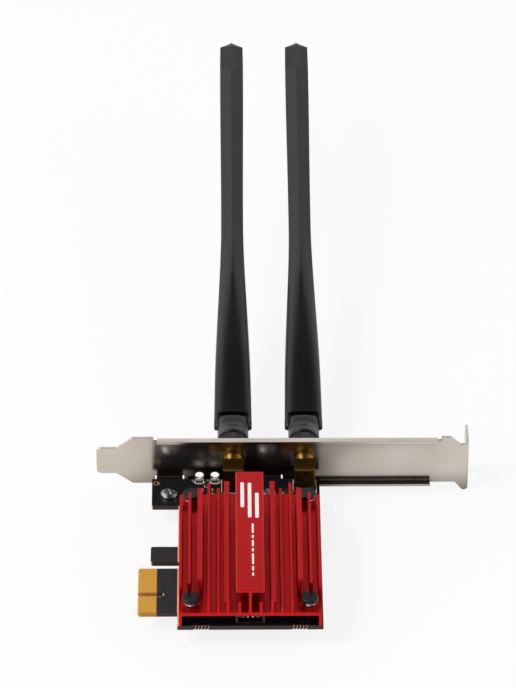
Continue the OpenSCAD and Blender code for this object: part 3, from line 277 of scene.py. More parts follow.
# The contacts are copper pads plated with hard gold, a soft-sheened yellow metal that sockets have lightly
# wiped. The small contact pins have the same plating.
wipe_mm = 0.35
hard_gold = blank("hard_gold_plating")
place = add(hard_gold, "ShaderNodeTexCoord")
stretch = add(hard_gold, "ShaderNodeMapping", {"Vector": place.outputs["Object"],
              "Scale": (0.1, 1.0, 1.0)})
wipes = add(hard_gold, "ShaderNodeTexNoise", {"Vector": stretch.outputs[0], "Scale": 1 / (wipe_mm * MM),
            "Detail": 3.0})
gold_tint = add(hard_gold, "ShaderNodeMix", {0: wipes.outputs["Fac"], 6: linear("#EFB246"),
                7: linear("#FBC65C")}, data_type="RGBA")
gold_rough = add(hard_gold, "ShaderNodeMapRange", {"Value": wipes.outputs["Fac"], "To Min": 0.32,
                 "To Max": 0.48})
shader = add(hard_gold, "ShaderNodeBsdfPrincipled", {"Base Color": gold_tint.outputs[2],
             "Metallic": 0.8, "Roughness": gold_rough.outputs[0]})
add(hard_gold, "ShaderNodeOutputMaterial", {"Surface": shader.outputs[0]})
shade(hard_gold, ["edge_contacts_top", "edge_contacts_bottom", "socket_contacts", "left_jack_pin",
                  "right_jack_pin", "left_plug_socket", "right_plug_socket"])

# The bracket is one blank of thin steel, punched, folded and bright nickel plated. The plating is a warm
# mirror over rolled sheet, which is slightly wavy and has streaks along its length, drawn coarser than real
# ones so that they show. Close to other pieces its colour is painted darker, as painted shade for the
# darkness it mirrors there.
wave_mm, streak_mm, painted_shade_reach_mm = 14.0, 0.25, 9
nickel = blank("bright_nickel_plated_steel")
place = add(nickel, "ShaderNodeTexCoord")
sheet_wave = add(nickel, "ShaderNodeTexNoise", {"Vector": place.outputs["Object"],
                 "Scale": 1 / (wave_mm * MM), "Detail": 1.0})
along = add(nickel, "ShaderNodeMapping", {"Vector": place.outputs["Object"], "Scale": (0.02, 1.0, 1.0)})
streaks = add(nickel, "ShaderNodeTexNoise", {"Vector": along.outputs[0], "Scale": 1 / (streak_mm * MM),
              "Detail": 4.0})
rounding = add(nickel, "ShaderNodeBevel", {"Radius": 0.15 * MM}, samples=4)
rolled = add(nickel, "ShaderNodeBump", {"Height": sheet_wave.outputs["Fac"], "Distance": 0.35 * MM,
             "Strength": 0.5, "Normal": rounding.outputs[0]})
brushed = add(nickel, "ShaderNodeBump", {"Height": streaks.outputs["Fac"], "Distance": 0.004 * MM,
              "Strength": 0.4, "Normal": rolled.outputs[0]})
nickel_rough = add(nickel, "ShaderNodeMapRange", {"Value": streaks.outputs["Fac"], "To Min": 0.13,
                   "To Max": 0.27})
nickel_tint = add(nickel, "ShaderNodeMix", {0: sheet_wave.outputs["Fac"], 6: linear("#C9C0B5"),
                  7: linear("#DDD6CE")}, data_type="RGBA")
# Painted shade: near other pieces an occlusion share turns the nickel's colour towards dark brown.
painted_shade_occlusion = add(nickel, "ShaderNodeAmbientOcclusion", {"Color": nickel_tint.outputs[2],
                "Distance": painted_shade_reach_mm * MM}, samples=6)
unshaded_share = add(nickel, "ShaderNodeMath", {0: painted_shade_occlusion.outputs["AO"], 1: 1.6}, operation="POWER")
tint_with_painted_shade = add(nickel, "ShaderNodeMix", {0: unshaded_share.outputs[0], 6: linear("#3A342F"),
                  7: nickel_tint.outputs[2]}, data_type="RGBA")
shader = add(nickel, "ShaderNodeBsdfPrincipled", {"Base Color": tint_with_painted_shade.outputs[2], "Metallic": 1.0,
             "Roughness": nickel_rough.outputs[0], "Normal": brushed.outputs[0]})
add(nickel, "ShaderNodeOutputMaterial", {"Surface": shader.outputs[0]})
shade(nickel, ["bracket", "jack_washers"])

# The screws are cold-headed steel with bright zinc plating, and the module's small screw is the same.
# Their heads are nearly mirrors, so the cross recess reads as dark and light facets.
speck_mm = 0.6
zinc = blank("bright_zinc_plating")
place = add(zinc, "ShaderNodeTexCoord")
specks = add(zinc, "ShaderNodeTexNoise", {"Vector": place.outputs["Object"],
             "Scale": 1 / (speck_mm * MM)})
zinc_rough = add(zinc, "ShaderNodeMapRange", {"Value": specks.outputs["Fac"], "To Min": 0.06,
                 "To Max": 0.2})
rounding = add(zinc, "ShaderNodeBevel", {"Radius": 0.12 * MM}, samples=4)
shader = add(zinc, "ShaderNodeBsdfPrincipled", {"Base Color": linear("#A3A4A7"), "Metallic": 1.0,
             "Roughness": zinc_rough.outputs[0], "Normal": rounding.outputs[0]})
add(zinc, "ShaderNodeOutputMaterial", {"Surface": shader.outputs[0]})
shade(zinc, ["bracket_screws", "module_screw"])

# The heatsink is one aluminium extrusion, cut to length, milled at its corners and dyed red by anodising.
# The dye sits under a clear oxide skin: a satin red metal with faint die lines along the fins. Lines and
# etched grit are drawn coarser than real ones so that they show.
die_line_mm, grit_mm = 0.18, 0.12
anodised = blank("red_anodised_aluminium")
place = add(anodised, "ShaderNodeTexCoord")
along = add(anodised, "ShaderNodeMapping", {"Vector": place.outputs["Object"],
            "Scale": (1.0, 0.012, 1.0)})
die_lines = add(anodised, "ShaderNodeTexNoise", {"Vector": along.outputs[0],
                "Scale": 1 / (die_line_mm * MM), "Detail": 3.0})
grit = add(anodised, "ShaderNodeTexNoise", {"Vector": place.outputs["Object"],
           "Scale": 1 / (grit_mm * MM), "Detail": 2.0})
rounding = add(anodised, "ShaderNodeBevel", {"Radius": 0.12 * MM}, samples=4)
lines = add(anodised, "ShaderNodeBump", {"Height": die_lines.outputs["Fac"], "Distance": 0.012 * MM,
            "Strength": 0.5, "Normal": rounding.outputs[0]})
etched = add(anodised, "ShaderNodeBump", {"Height": grit.outputs["Fac"], "Distance": 0.008 * MM,
             "Strength": 0.5, "Normal": lines.outputs[0]})
dye = add(anodised, "ShaderNodeMix", {0: die_lines.outputs["Fac"], 6: linear("#C21015"),
          7: linear("#D0181C")}, data_type="RGBA")
shader = add(anodised, "ShaderNodeBsdfPrincipled", {"Base Color": dye.outputs[2], "Metallic": 0.8,
             "Roughness": 0.31, "Normal": etched.outputs[0]})
add(anodised, "ShaderNodeOutputMaterial", {"Surface": shader.outputs[0]})
shade(anodised, ["heatsink"])

# White ink is pad-printed on the heatsink's cap: three rounded bars and a broken line of thin dashes.
# The ink stands a few hundredths of a millimetre proud and is matt, a little thinner in spots.
ink_spot_mm, ink_t, ink_sunk = 0.3, 0.03, 0.005
bar_w, bar_r, dash_w, dash_r, dash_gap, dash_dx, first_dash_y = 1.15, 0.55, 0.6, 0.28, 0.9, 0.9, 17.0
bar_places = ((-2.3, 31.2, 12.4), (0.0, 28.6, 17.2), (2.3, 26.0, 12.4))
dash_lengths = (4.6, 1.6, 3.0, 1.6, 5.2, 2.2, 1.6)


def bar_outline(cx, cy, w, l, r, steps=6):
    """Corner points of a rounded bar, w wide in X and l long in Y."""
    points = []
    for qx, qy, start in ((1, -1, -90), (1, 1, 0), (-1, 1, 90), (-1, -1, 180)):
        for k in range(steps + 1):
            a = radians(start + 90 * k / steps)
            points.append((cx + qx * (w / 2 - r) + r * cos(a), cy + qy * (l / 2 - r) + r * sin(a)))
    return points


def piece_from(bm, name):
    """Turns a bmesh into an object of the scene."""
    mesh = bpy.data.meshes.new(name)
    bm.to_mesh(mesh)
    bm.free()
    piece = bpy.data.objects.new(name, mesh)
    bpy.context.scene.collection.objects.link(piece)
    return piece


def flat_print(name, outlines, z, thickness, material, body):
    """Flat outlines in millimetres raised by thickness above z, as one piece."""
    bm = bmesh.new()
    for outline in outlines:
        face = bm.faces.new([bm.verts.new((x * MM, y * MM, z * MM)) for x, y in outline])
        if face.normal.z < 0:
            face.normal_flip()
        raised = bmesh.ops.extrude_face_region(bm, geom=[face])
        tops = [v for v in raised["geom"] if isinstance(v, bmesh.types.BMVert)]
        bmesh.ops.translate(bm, verts=tops, vec=(0, 0, thickness * MM))
    bmesh.ops.recalc_face_normals(bm, faces=bm.faces)
    piece = piece_from(bm, name)
    piece.data.materials.append(material)
    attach(piece, body)


white_ink = blank("white_pad_print_ink")
place = add(white_ink, "ShaderNodeTexCoord")
thin_spots = add(white_ink, "ShaderNodeTexNoise", {"Vector": place.outputs["Object"],
                 "Scale": 1 / (ink_spot_mm * MM)})
ink_colour = add(white_ink, "ShaderNodeMix", {0: thin_spots.outputs["Fac"], 6: linear("#DEDCDA"),
                 7: linear("#F7F6F4")}, data_type="RGBA")
shader = add(white_ink, "ShaderNodeBsdfPrincipled", {"Base Color": ink_colour.outputs[2],
             "Roughness": 0.5})
add(white_ink, "ShaderNodeOutputMaterial", {"Surface": shader.outputs[0]})

sink_low, sink_high = (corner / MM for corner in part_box("heatsink"))
cap_x = (sink_low.x + sink_high.x) / 2
bars = [bar_outline(cap_x + dx, y, bar_w, bar_l, bar_r) for dx, y, bar_l in bar_places]
dashes = []
dash_y = first_dash_y
for dash_l in dash_lengths:
    dashes.append(bar_outline(cap_x + dash_dx, dash_y - dash_l / 2, dash_w, dash_l, dash_r))
    dash_y -= dash_l + dash_gap
flat_print("cap_print", bars + dashes, sink_high.z - ink_sunk, ink_t, white_ink, "card")

# The board's own legend is screened in the same white: outlines round the lights, chips and aerial sockets.
# A plated ring surrounds the small tooling hole on the ear.
line_w, round_end, board_face, legend_t = 0.18, 0.45, 0.8, 0.025
light_half, light_frame_w, light_frame_l, light_arc_r = 0.8, 2.6, 2.2, 1.9
dot_w, dot_l, dot_r, dot_dx = 0.5, 0.35, 0.1, -2.2
chip_places, chip_frame_w, chip_frame_l = ((24.0, 51.4), (19.4, 51.4), (21.5, 53.4)), 1.7, 1.1
coax_places, coax_ring_r = ((24.6, 48.65), (47.6, 48.65)), 2.0
jack_side_y, jack_side_l, jack_front_y, jack_margin = 53.1, 7.0, 49.7, 0.45
hole_x, hole_y, hole_d, ring_w = 5.2, 54.85, 1.4, 0.35


def frame_bars(cx, cy, w, l, line):
    """Four thin bars that outline a rectangle of w by l."""
    uprights = [bar_outline(cx + s * w / 2, cy, line, l + line, line * round_end) for s in (-1, 1)]
    return uprights + [bar_outline(cx, cy + s * l / 2, w + line, line, line * round_end) for s in (-1, 1)]


def ring_bars(cx, cy, radius, line, start, end, parts=24):
    """Short quadrilaterals that make an arc from start to end, in degrees."""
    pieces = []
    for k in range(parts):
        a, b = (radians(start + (end - start) * (k + q) / parts) for q in (0, 1))
        pieces.append([(cx + r * cos(t), cy + r * sin(t)) for r, t in
                       ((radius, a), (radius + line, a), (radius + line, b), (radius, b))])
    return pieces


light_low, light_high = (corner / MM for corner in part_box("status_lights"))
legend = []
for x in (light_low.x + light_half, light_high.x - light_half):
    legend += frame_bars(x, light_low.y - 0.1, light_frame_w, light_frame_l, line_w)
    legend += ring_bars(x, light_low.y + 0.2, light_arc_r, line_w, 200, 340, 12)
    legend.append(bar_outline(x + dot_dx, light_low.y + 0.2, dot_w, dot_l, dot_r))
for x, y in chip_places:
    legend += frame_bars(x, y, chip_frame_w, chip_frame_l, line_w * 0.8)
for name in ("left_jack", "right_jack"):
    low, high = (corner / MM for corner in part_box(name))
    for x in (low.x - jack_margin, high.x + jack_margin):
        legend.append(bar_outline(x, jack_side_y, line_w, jack_side_l, line_w * round_end))
    legend.append(bar_outline((low.x + high.x) / 2, jack_front_y, high.x - low.x + 2 * jack_margin, line_w,
                              line_w * round_end))
for x, y in coax_places:
    legend += ring_bars(x, y, coax_ring_r, line_w, 40, 170)
    legend += ring_bars(x, y, coax_ring_r, line_w, 220, 300, 12)
flat_print("board_legend", legend, board_face - ink_sunk, legend_t, white_ink, "card")
ring = ring_bars(hole_x, hole_y, hole_d / 2, ring_w, 0, 360)
flat_print("tooling_hole_ring", ring, board_face - ink_sunk, ink_t, hard_gold, "card")

# The push pins are moulded nylon with a split barb. The knurled coupling nuts, the module socket and the
# cable header are black mouldings too: deep black, with a low sheen and the fine dimples of the mould.
skin_mm = 0.2
nylon = blank("black_moulded_nylon")
place = add(nylon, "ShaderNodeTexCoord")
skin = add(nylon, "ShaderNodeTexNoise", {"Vector": place.outputs["Object"], "Scale": 1 / (skin_mm * MM),
           "Detail": 3.0})
rounding = add(nylon, "ShaderNodeBevel", {"Radius": 0.15 * MM}, samples=4)
dimples = add(nylon, "ShaderNodeBump", {"Height": skin.outputs["Fac"], "Distance": 0.02 * MM,
              "Strength": 0.4, "Normal": rounding.outputs[0]})
nylon_tint = add(nylon, "ShaderNodeMix", {0: skin.outputs["Fac"], 6: linear("#08080A"),
                 7: linear("#121214")}, data_type="RGBA")
shader = add(nylon, "ShaderNodeBsdfPrincipled", {"Base Color": nylon_tint.outputs[2], "Roughness": 0.34,
             "IOR": 1.4, "Normal": dimples.outputs[0]})
add(nylon, "ShaderNodeOutputMaterial", {"Surface": shader.outputs[0]})
shade(nylon, ["push_pins", "left_ring_nut", "right_ring_nut"])
shade(nylon, ["module_socket", "header_shell"])

# A short coil spring sits under the head of each push pin and presses the heatsink down. It is wound from
# hard drawn steel wire, bright and slightly streaked.
drawn_mm = 0.4
spring_wire = blank("bright_drawn_spring_wire")
place = add(spring_wire, "ShaderNodeTexCoord")
drawn = add(spring_wire, "ShaderNodeTexNoise", {"Vector": place.outputs["Object"],
            "Scale": 1 / (drawn_mm * MM)})
wire_rough = add(spring_wire, "ShaderNodeMapRange", {"Value": drawn.outputs["Fac"], "To Min": 0.15,
                 "To Max": 0.35})
shader = add(spring_wire, "ShaderNodeBsdfPrincipled", {"Base Color": linear("#C6C5C2"), "Metallic": 1.0,
             "Roughness": wire_rough.outputs[0]})
add(spring_wire, "ShaderNodeOutputMaterial", {"Surface": shader.outputs[0]})
shade(spring_wire, ["push_pin_springs"])

# The aerial sockets are machined brass with a gold flash; the barrel carries a fine thread.
# The thread is relief in the finish, at its true pitch; the tool marks are drawn coarser than real ones.
thread_pitch_mm, thread_from_mm, tool_mark_mm = 0.706, 57.36, 0.5
gold_brass = blank("gold_flashed_brass")
place = add(gold_brass, "ShaderNodeTexCoord")
split = add(gold_brass, "ShaderNodeSeparateXYZ", {0: place.outputs["Object"]})
turns = add(gold_brass, "ShaderNodeMath", {0: split.outputs["Y"], 1: 2 * pi / (thread_pitch_mm * MM)},
            operation="MULTIPLY")
ridges = add(gold_brass, "ShaderNodeMath", {0: turns.outputs[0]}, operation="SINE")
on_barrel = add(gold_brass, "ShaderNodeMath", {0: split.outputs["Y"], 1: thread_from_mm * MM},
                operation="GREATER_THAN")
thread = add(gold_brass, "ShaderNodeMath", {0: ridges.outputs[0], 1: on_barrel.outputs[0]},
             operation="MULTIPLY")
tool_marks = add(gold_brass, "ShaderNodeTexNoise", {"Vector": place.outputs["Object"],
                 "Scale": 1 / (tool_mark_mm * MM), "Detail": 3.0})
rounding = add(gold_brass, "ShaderNodeBevel", {"Radius": 0.15 * MM}, samples=4)
threaded = add(gold_brass, "ShaderNodeBump", {"Height": thread.outputs[0], "Distance": 0.12 * MM,
               "Strength": 0.9, "Normal": rounding.outputs[0]})
brass_tint = add(gold_brass, "ShaderNodeMix", {0: tool_marks.outputs["Fac"], 6: linear("#B98A35"),
                 7: linear("#D9AE5A")}, data_type="RGBA")
brass_rough = add(gold_brass, "ShaderNodeMapRange", {"Value": tool_marks.outputs["Fac"], "To Min": 0.16,
                  "To Max": 0.32})
shader = add(gold_brass, "ShaderNodeBsdfPrincipled", {"Base Color": brass_tint.outputs[2],
             "Metallic": 1.0, "Roughness": brass_rough.outputs[0], "Normal": threaded.outputs[0]})
add(gold_brass, "ShaderNodeOutputMaterial", {"Surface": shader.outputs[0]})
shade(gold_brass, ["left_jack", "right_jack", "jack_nuts", "module_standoff", "coax_jacks", "coax_plugs",
                   "left_plug", "right_plug", "left_radiator", "right_radiator"])

# The blades are moulded ABS sleeves with a fine spark-eroded grain: wide and rounded at the fork,
# narrow at the waist, and ridged like a low roof from there to the bevelled tip. The grain gives a soft
# satin black and is drawn coarser than the real one.
grain_mm, cloud_mm = 0.22, 9
fork_w, fork_r, blade_l, waist_w, tip_w = 12.3, 2.4, 186.5, 7.5, 8.1
blade_t, tip_t, tip_l, rest_tilt = 7.2, 6.2, 10.0, radians(8)
slot_w, slot_end, hinge_pin_d, arm_end_r = 10.02, 3.5, 1.8, 0.7
past_fork, through = 10, 20
ridge_cut, side_cut, eaves, round_power, crisp_l = 17.0, 12.6, 0.38, 0.68, 17.5
# The tip's last two sections: how far before the end, in tip lengths, and their shares of width and height.
tip_rows = ((0.22, 0.98, 0.42), (0.0, 0.12, 0.25))
abs_plastic = blank("grained_black_abs")
place = add(abs_plastic, "ShaderNodeTexCoord")
pebble = add(abs_plastic, "ShaderNodeTexNoise", {"Vector": place.outputs["Object"],
             "Scale": 1 / (grain_mm * MM), "Detail": 4.0})
cloud = add(abs_plastic, "ShaderNodeTexNoise", {"Vector": place.outputs["Object"],
            "Scale": 1 / (cloud_mm * MM)})
rounding = add(abs_plastic, "ShaderNodeBevel", {"Radius": 0.2 * MM}, samples=4)
grained = add(abs_plastic, "ShaderNodeBump", {"Height": pebble.outputs["Fac"], "Distance": 0.02 * MM,
              "Strength": 0.3, "Normal": rounding.outputs[0]})
abs_tint = add(abs_plastic, "ShaderNodeMix", {0: pebble.outputs["Fac"], 6: linear("#08090A"),
               7: linear("#101113")}, data_type="RGBA")
abs_rough = add(abs_plastic, "ShaderNodeMapRange", {"Value": cloud.outputs["Fac"], "To Min": 0.27,
                "To Max": 0.33})
shader = add(abs_plastic, "ShaderNodeBsdfPrincipled", {"Base Color": abs_tint.outputs[2],
             "Roughness": abs_rough.outputs[0], "IOR": 1.38, "Normal": grained.outputs[0]})
add(abs_plastic, "ShaderNodeOutputMaterial", {"Surface": shader.outputs[0]})
shade(abs_plastic, ["left_blade", "right_blade", "left_knuckle", "right_knuckle", "left_hinge_pin",
                    "right_hinge_pin"])


def ease(t):
    """Goes from 0 to 1 with a soft start and end."""
    t = min(1.0, max(0.0, t))
    return t * t * (3 - 2 * t)


def half_width(t):
    """Half the blade's width at t, from 0 at the hinge to 1 at the tip's foot."""
    if t < 0.5:
        return fork_w / 2 + (waist_w - fork_w) / 2 * (0.45 * t / 0.5 + 0.55 * ease((t - 0.1) / 0.4))
    return waist_w / 2 + (tip_w - waist_w) / 2 * ease((t - 0.55) / 0.4)


def half_thickness(t):
    """Half the blade's thickness at t: thin at the fork, full at a fifth, a little thinner at the tip."""
    if t < 0.2:
        return fork_r + (blade_t / 2 - fork_r) * ease(t / 0.2)
    return blade_t / 2 + (tip_t - blade_t) / 2 * ease((t - 0.2) / 0.4)


def ridge_share(t):
    """How far the rounded section has turned into the roof at t."""
    return ease((t - 0.12) / 0.4)


def blade_ring(y, w, h, k, quarter=16):
    """One cross-section: a rounded form for k = 0, a low roof above and below for k = 1."""
    ring = []
    for q in range(4):
        for i in range(quarter):
            j = i if q % 2 == 0 else quarter - i
            a = pi / 2 * j / quarter
            x_round = w * cos(a) ** round_power if j < quarter else 0.0
            z_round = h * sin(a) ** round_power
            side = quarter // 6
            if j <= side:
                x_roof, z_roof = w, h * eaves * j / side
            else:
                up = (j - side) / (quarter - side)
                x_roof, z_roof = w * (1 - up), h * (eaves + (1 - eaves) * up)
            x, z = x_round + k * (x_roof - x_round), z_round + k * (z_roof - z_round)
            ring.append((x if q in (0, 3) else -x, y, z if q < 2 else -z))
    return ring


def blade_sections():
    """Sections from the fork's rounded end to the bevelled tip, in millimetres from the hinge."""
    body_l = blade_l - tip_l
    rings = []
    for i in range(1, 20):
        a = pi / 2 * i / 20
        short = max(0.0, arm_end_r - fork_r * (1 - cos(a)))
        corner = arm_end_r - sqrt(arm_end_r ** 2 - short ** 2)
        rings.append(blade_ring(-fork_r * cos(a), fork_w / 2 - corner, fork_r * sin(a), 0.0))
    steps = 70
    for i in range(steps + 1):
        t = i / steps * (blade_l - ridge_cut) / body_l
        rings.append(blade_ring(body_l * t, half_width(t), half_thickness(t), ridge_share(t)))
    w, h = half_width(1), half_thickness(1)
    bevel = []
    for x, y, z in blade_ring(0, w, h, 1.0):
        up_roof = max(0.0, (abs(z) / h - eaves) / (1 - eaves))
        bevel.append((x, blade_l - side_cut - (ridge_cut - side_cut) * up_roof, z))
    rings[-1] = bevel
    for back, across, up in tip_rows:
        rings.append(blade_ring(blade_l - tip_l * back, w * across, h * up, 1.0))
    return rings


def solid_from(rings, name):
    """A closed mesh object through rings of equal length."""
    bm = bmesh.new()
    rows = [[bm.verts.new(Vector(p) * MM) for p in ring] for ring in rings]
    count = len(rows[0])
    for near, far in zip(rows, rows[1:]):
        for j in range(count):
            bm.faces.new((near[j], near[(j + 1) % count], far[(j + 1) % count], far[j]))
    bm.faces.new(rows[0])
    bm.faces.new(rows[-1])
    bmesh.ops.recalc_face_normals(bm, faces=bm.faces)
    return piece_from(bm, name)


def drill(tool, diameter, length, middle, axis, segments=32):
    """Adds a cylinder along X or Y to the cutting form tool, in millimetres from the hinge."""
    turn = Matrix.Rotation(pi / 2, 4, "Y" if axis == "X" else "X")
    bmesh.ops.create_cone(tool, cap_ends=True, segments=segments, radius1=diameter / 2 * MM,
                          radius2=diameter / 2 * MM, depth=length * MM,
                          matrix=Matrix.Translation(Vector(middle) * MM) @ turn)


def cut_away(piece, tool):
    """Takes the space of the cutting form tool out of piece."""
    cutter = piece_from(tool, "cutter")
    modifier = piece.modifiers.new("cut", "BOOLEAN")
    modifier.operation, modifier.object, modifier.solver = "DIFFERENCE", cutter, "EXACT"
    depsgraph = bpy.context.evaluated_depsgraph_get()
    cut = bpy.data.meshes.new_from_object(piece.evaluated_get(depsgraph))
    piece.modifiers.clear()
    piece.data = cut
    bpy.data.objects.remove(cutter)


def crease(mesh, degrees, crisp_from=1.0, tip_degrees=4):
    """Smooth shading with crisp edges above an angle, which is tip_degrees past crisp_from metres in Y."""
    bm = bmesh.new()
    bm.from_mesh(mesh)
    for face in bm.faces:
        face.smooth = True
    for edge in bm.edges:
        limit = tip_degrees if min(v.co.y for v in edge.verts) > crisp_from else degrees
        edge.smooth = len(edge.link_faces) == 2 and edge.calc_face_angle(0) < radians(limit)
    bm.to_mesh(mesh)
    bm.free()


for side in ("left", "right"):
    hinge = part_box(side + "_hinge_pin")
    hinge_place = (hinge[0] + hinge[1]) / 2
    blade = solid_from(blade_sections(), side + "_blade_sleeve")
    slot = bmesh.new()
    slot_size = Vector((slot_w, slot_end + past_fork, through)) * MM
    bmesh.ops.create_cube(slot, size=1.0, matrix=Matrix.Diagonal(slot_size).to_4x4())
    bmesh.ops.translate(slot, verts=slot.verts, vec=Vector((0, (slot_end - past_fork) / 2, 0)) * MM)
    drill(slot, hinge_pin_d, through, (0, 0, 0), "X")
    cut_away(blade, slot)
    crease(blade.data, 24, (blade_l - crisp_l) * MM)
    blade.data.transform(Matrix.Translation(hinge_place) @ Matrix.Rotation(rest_tilt, 4, "X"))
    blade.data.materials.append(abs_plastic)
    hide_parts(side + "_blade")
    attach(blade, side + "_aerial")

# The swivel bodies are moulded in the same ABS, round where they turn and domed round the hinge pin.
# The dome sinks from the round part to the eye so that the blade can fold over it.
knuckle_r, eye_r, rim, stem_d, stem_l, pin_bite, bore_gap = 5.0, 3.1, 0.4, 3.6, 2.6, 2.0, 0.02
slope_start, slope_l, crown_start, crown_half, end_share = -8.6, 6.4, 0.8, 1.9, 0.003
square_start, square_l, squareness = -6, 5, 0.9
hinge_low, hinge_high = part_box("left_hinge_pin")
knuckle_start = (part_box("left_knuckle")[0].y - (hinge_low.y + hinge_high.y) / 2) / MM


def knuckle_ring(y):
    """One cross-section at y millimetres from the hinge, round at the foot and squarer at the eye."""
    w = knuckle_r - max(0.0, rim - (y - knuckle_start))
    h = w if y < slope_start else eye_r + (knuckle_r - eye_r) * (1 - ease((y - slope_start) / slope_l))
    if y > 0:
        h = eye_r * sqrt(max(end_share, 1 - (y / eye_r) ** 2))
    if y > crown_start:
        fall = sqrt(max(0.0, 1 - ((y - crown_start) / (eye_r - crown_start)) ** 2))
        w = crown_half + (w - crown_half) * fall
    power = 2 / (2 + squareness * ease((y - square_start) / square_l))
    ring = []
    for k in range(64):
        a = 2 * pi * k / 64
        x, z = (abs(c) ** power * (1 if c > 0 else -1) for c in (cos(a), sin(a)))
        ring.append((w * x, y, h * z))
    return ring


rim_end = knuckle_start + rim
stations = [knuckle_start, rim_end] + [rim_end * (1 - k / 36) for k in range(1, 37)]
stations += [eye_r * sin(pi / 2 * k / 14) for k in range(1, 15)]
for side in ("left", "right"):
    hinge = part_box(side + "_hinge_pin")
    body = solid_from([knuckle_ring(y) for y in stations], side + "_knuckle_body")
    bores = bmesh.new()
    stem_bore_l = stem_l + 1 + bore_gap
    drill(bores, stem_d + 2 * bore_gap, stem_bore_l, (0, knuckle_start - 1 + stem_bore_l / 2, 0), "Y", 48)
    for s in (-1, 1):
        drill(bores, hinge_pin_d + 2 * bore_gap, pin_bite + 1,
              (s * (knuckle_r - pin_bite / 2 + 0.5), 0, 0), "X")
    cut_away(body, bores)
    body.data.transform(Matrix.Translation((hinge[0] + hinge[1]) / 2))
    crease(body.data, 30)
    body.data.materials.append(abs_plastic)
    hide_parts(side + "_knuckle")
    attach(body, side + "_base")

# The leads are thin coaxial cables, extruded in a black fluoropolymer jacket and crimped into small plugs.
# The jacket is smooth and slightly waxy, with a faint ripple from the braid under it.
ripple_mm = 0.8
fep = blank("black_fep_jacket")
place = add(fep, "ShaderNodeTexCoord")
ripple = add(fep, "ShaderNodeTexNoise", {"Vector": place.outputs["Object"],
             "Scale": 1 / (ripple_mm * MM)})
fep_rough = add(fep, "ShaderNodeMapRange", {"Value": ripple.outputs["Fac"], "To Min": 0.25,
                "To Max": 0.4})
shader = add(fep, "ShaderNodeBsdfPrincipled", {"Base Color": linear("#1A1A1C"),
             "Roughness": fep_rough.outputs[0], "IOR": 1.34})
add(fep, "ShaderNodeOutputMaterial", {"Surface": shader.outputs[0]})
shade(fep, ["left_coax_lead", "right_coax_lead", "left_feed_lead", "right_feed_lead"])

# The radio module's can is drawn from thin tin-plated sheet, and the header's pins are tinned wire.
# Tin is a soft grey metal, dulled in cloudy patches.
bloom_mm = 1.5
tin = blank("tin_plated_sheet")
place = add(tin, "ShaderNodeTexCoord")
bloom = add(tin, "ShaderNodeTexNoise", {"Vector": place.outputs["Object"], "Scale": 1 / (bloom_mm * MM),
            "Detail": 3.0})
tin_rough = add(tin, "ShaderNodeMapRange", {"Value": bloom.outputs["Fac"], "To Min": 0.25,
                "To Max": 0.45})
rounding = add(tin, "ShaderNodeBevel", {"Radius": 0.1 * MM}, samples=4)
shader = add(tin, "ShaderNodeBsdfPrincipled", {"Base Color": linear("#C4C4C1"), "Metallic": 1.0,
             "Roughness": tin_rough.outputs[0], "Normal": rounding.outputs[0]})
add(tin, "ShaderNodeOutputMaterial", {"Surface": shader.outputs[0]})
shade(tin, ["radio_can"])
shade(tin, ["header_pins"])

# The radio module's own board is fibreglass laminate under green solder mask, satin, with the glass weave
# showing as faint darker spots.
weave_mm = 0.7
module_laminate = blank("green_solder_mask_fr4")
place = add(module_laminate, "ShaderNodeTexCoord")
weave = add(module_laminate, "ShaderNodeTexNoise", {"Vector": place.outputs["Object"],
            "Scale": 1 / (weave_mm * MM)})
mask_tint = add(module_laminate, "ShaderNodeMix", {0: weave.outputs["Fac"], 6: linear("#0F3320"),
                7: linear("#174A2E")}, data_type="RGBA")
shader = add(module_laminate, "ShaderNodeBsdfPrincipled", {"Base Color": mask_tint.outputs[2],
             "Roughness": 0.35})
add(module_laminate, "ShaderNodeOutputMaterial", {"Surface": shader.outputs[0]})
shade(module_laminate, ["radio_module"])

# The thermal pad is a cast sheet of soft silicone with ceramic filler, pressed between can and heatsink.
# It is matt and blue-grey, and the filler mottles it.
filler_mm = 0.3
silicone = blank("soft_silicone_pad")
place = add(silicone, "ShaderNodeTexCoord")
filler = add(silicone, "ShaderNodeTexNoise", {"Vector": place.outputs["Object"],
             "Scale": 1 / (filler_mm * MM)})
pad_tint = add(silicone, "ShaderNodeMix", {0: filler.outputs["Fac"], 6: linear("#8D9FAF"),
               7: linear("#A4B5C3")}, data_type="RGBA")
shader = add(silicone, "ShaderNodeBsdfPrincipled", {"Base Color": pad_tint.outputs[2],
             "Roughness": 0.8})
add(silicone, "ShaderNodeOutputMaterial", {"Surface": shader.outputs[0]})
shade(silicone, ["thermal_pad"])

# The insulators in sockets and plugs are turned from PTFE rod and pressed in. PTFE is white and waxy, and
# lets a little light in.
waxy_mm = 0.5
ptfe = blank("turned_ptfe")
place = add(ptfe, "ShaderNodeTexCoord")
waxy = add(ptfe, "ShaderNodeTexNoise", {"Vector": place.outputs["Object"], "Scale": 1 / (waxy_mm * MM)})
ptfe_rough = add(ptfe, "ShaderNodeMapRange", {"Value": waxy.outputs["Fac"], "To Min": 0.35,
                 "To Max": 0.5})
shader = add(ptfe, "ShaderNodeBsdfPrincipled", {"Base Color": linear("#ECEAE4"),
             "Roughness": ptfe_rough.outputs[0], "Subsurface Weight": 0.2,
             "Subsurface Scale": 0.3 * MM})
add(ptfe, "ShaderNodeOutputMaterial", {"Surface": shader.outputs[0]})
shade(ptfe, ["left_jack_insulator", "right_jack_insulator", "left_plug_insulator", "right_plug_insulator"])

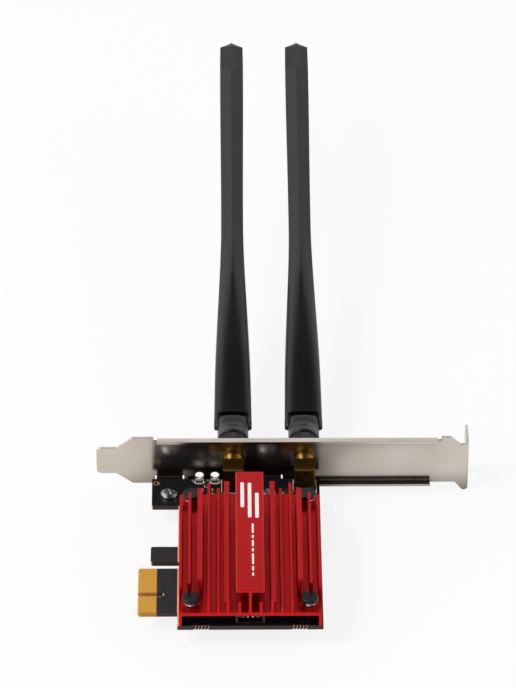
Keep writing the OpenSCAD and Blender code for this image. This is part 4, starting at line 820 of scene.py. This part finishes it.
# The chip resistors are fired ceramic blocks under a dark glaze, soldered to the board.
# The glaze is smooth and nearly black.
glaze_mm = 0.2
chip_black = blank("glazed_chip_resistor")
place = add(chip_black, "ShaderNodeTexCoord")
glaze = add(chip_black, "ShaderNodeTexNoise", {"Vector": place.outputs["Object"],
            "Scale": 1 / (glaze_mm * MM)})
glaze_tint = add(chip_black, "ShaderNodeMix", {0: glaze.outputs["Fac"], 6: linear("#1B1B1D"),
                 7: linear("#2C2C30")}, data_type="RGBA")
shader = add(chip_black, "ShaderNodeBsdfPrincipled", {"Base Color": glaze_tint.outputs[2],
             "Roughness": 0.3})
add(chip_black, "ShaderNodeOutputMaterial", {"Surface": shader.outputs[0]})
shade(chip_black, ["chip_resistors"])

# The chip capacitors are unglazed blocks of the same kind, soldered beside them.
# Fired ceramic is tan and satin, a little speckled.
fired_mm = 0.25
chip_tan = blank("fired_chip_capacitor")
place = add(chip_tan, "ShaderNodeTexCoord")
fired = add(chip_tan, "ShaderNodeTexNoise", {"Vector": place.outputs["Object"],
            "Scale": 1 / (fired_mm * MM)})
fired_tint = add(chip_tan, "ShaderNodeMix", {0: fired.outputs["Fac"], 6: linear("#9C7F58"),
                 7: linear("#BC9E74")}, data_type="RGBA")
shader = add(chip_tan, "ShaderNodeBsdfPrincipled", {"Base Color": fired_tint.outputs[2],
             "Roughness": 0.4})
add(chip_tan, "ShaderNodeOutputMaterial", {"Surface": shader.outputs[0]})
shade(chip_tan, ["chip_capacitors"])

# The status lights are small lamps cast in epoxy, soldered behind the bracket's two holes.
# The epoxy is glossy and cream white over the light's body.
haze_mm = 0.4
epoxy = blank("clear_epoxy_lens")
place = add(epoxy, "ShaderNodeTexCoord")
haze = add(epoxy, "ShaderNodeTexNoise", {"Vector": place.outputs["Object"],
           "Scale": 1 / (haze_mm * MM)})
haze_tint = add(epoxy, "ShaderNodeMix", {0: haze.outputs["Fac"], 6: linear("#E6DFBE"),
                7: linear("#F5F1DC")}, data_type="RGBA")
shader = add(epoxy, "ShaderNodeBsdfPrincipled", {"Base Color": haze_tint.outputs[2], "Roughness": 0.15,
             "IOR": 1.55})
add(epoxy, "ShaderNodeOutputMaterial", {"Surface": shader.outputs[0]})
shade(epoxy, ["status_lights"])
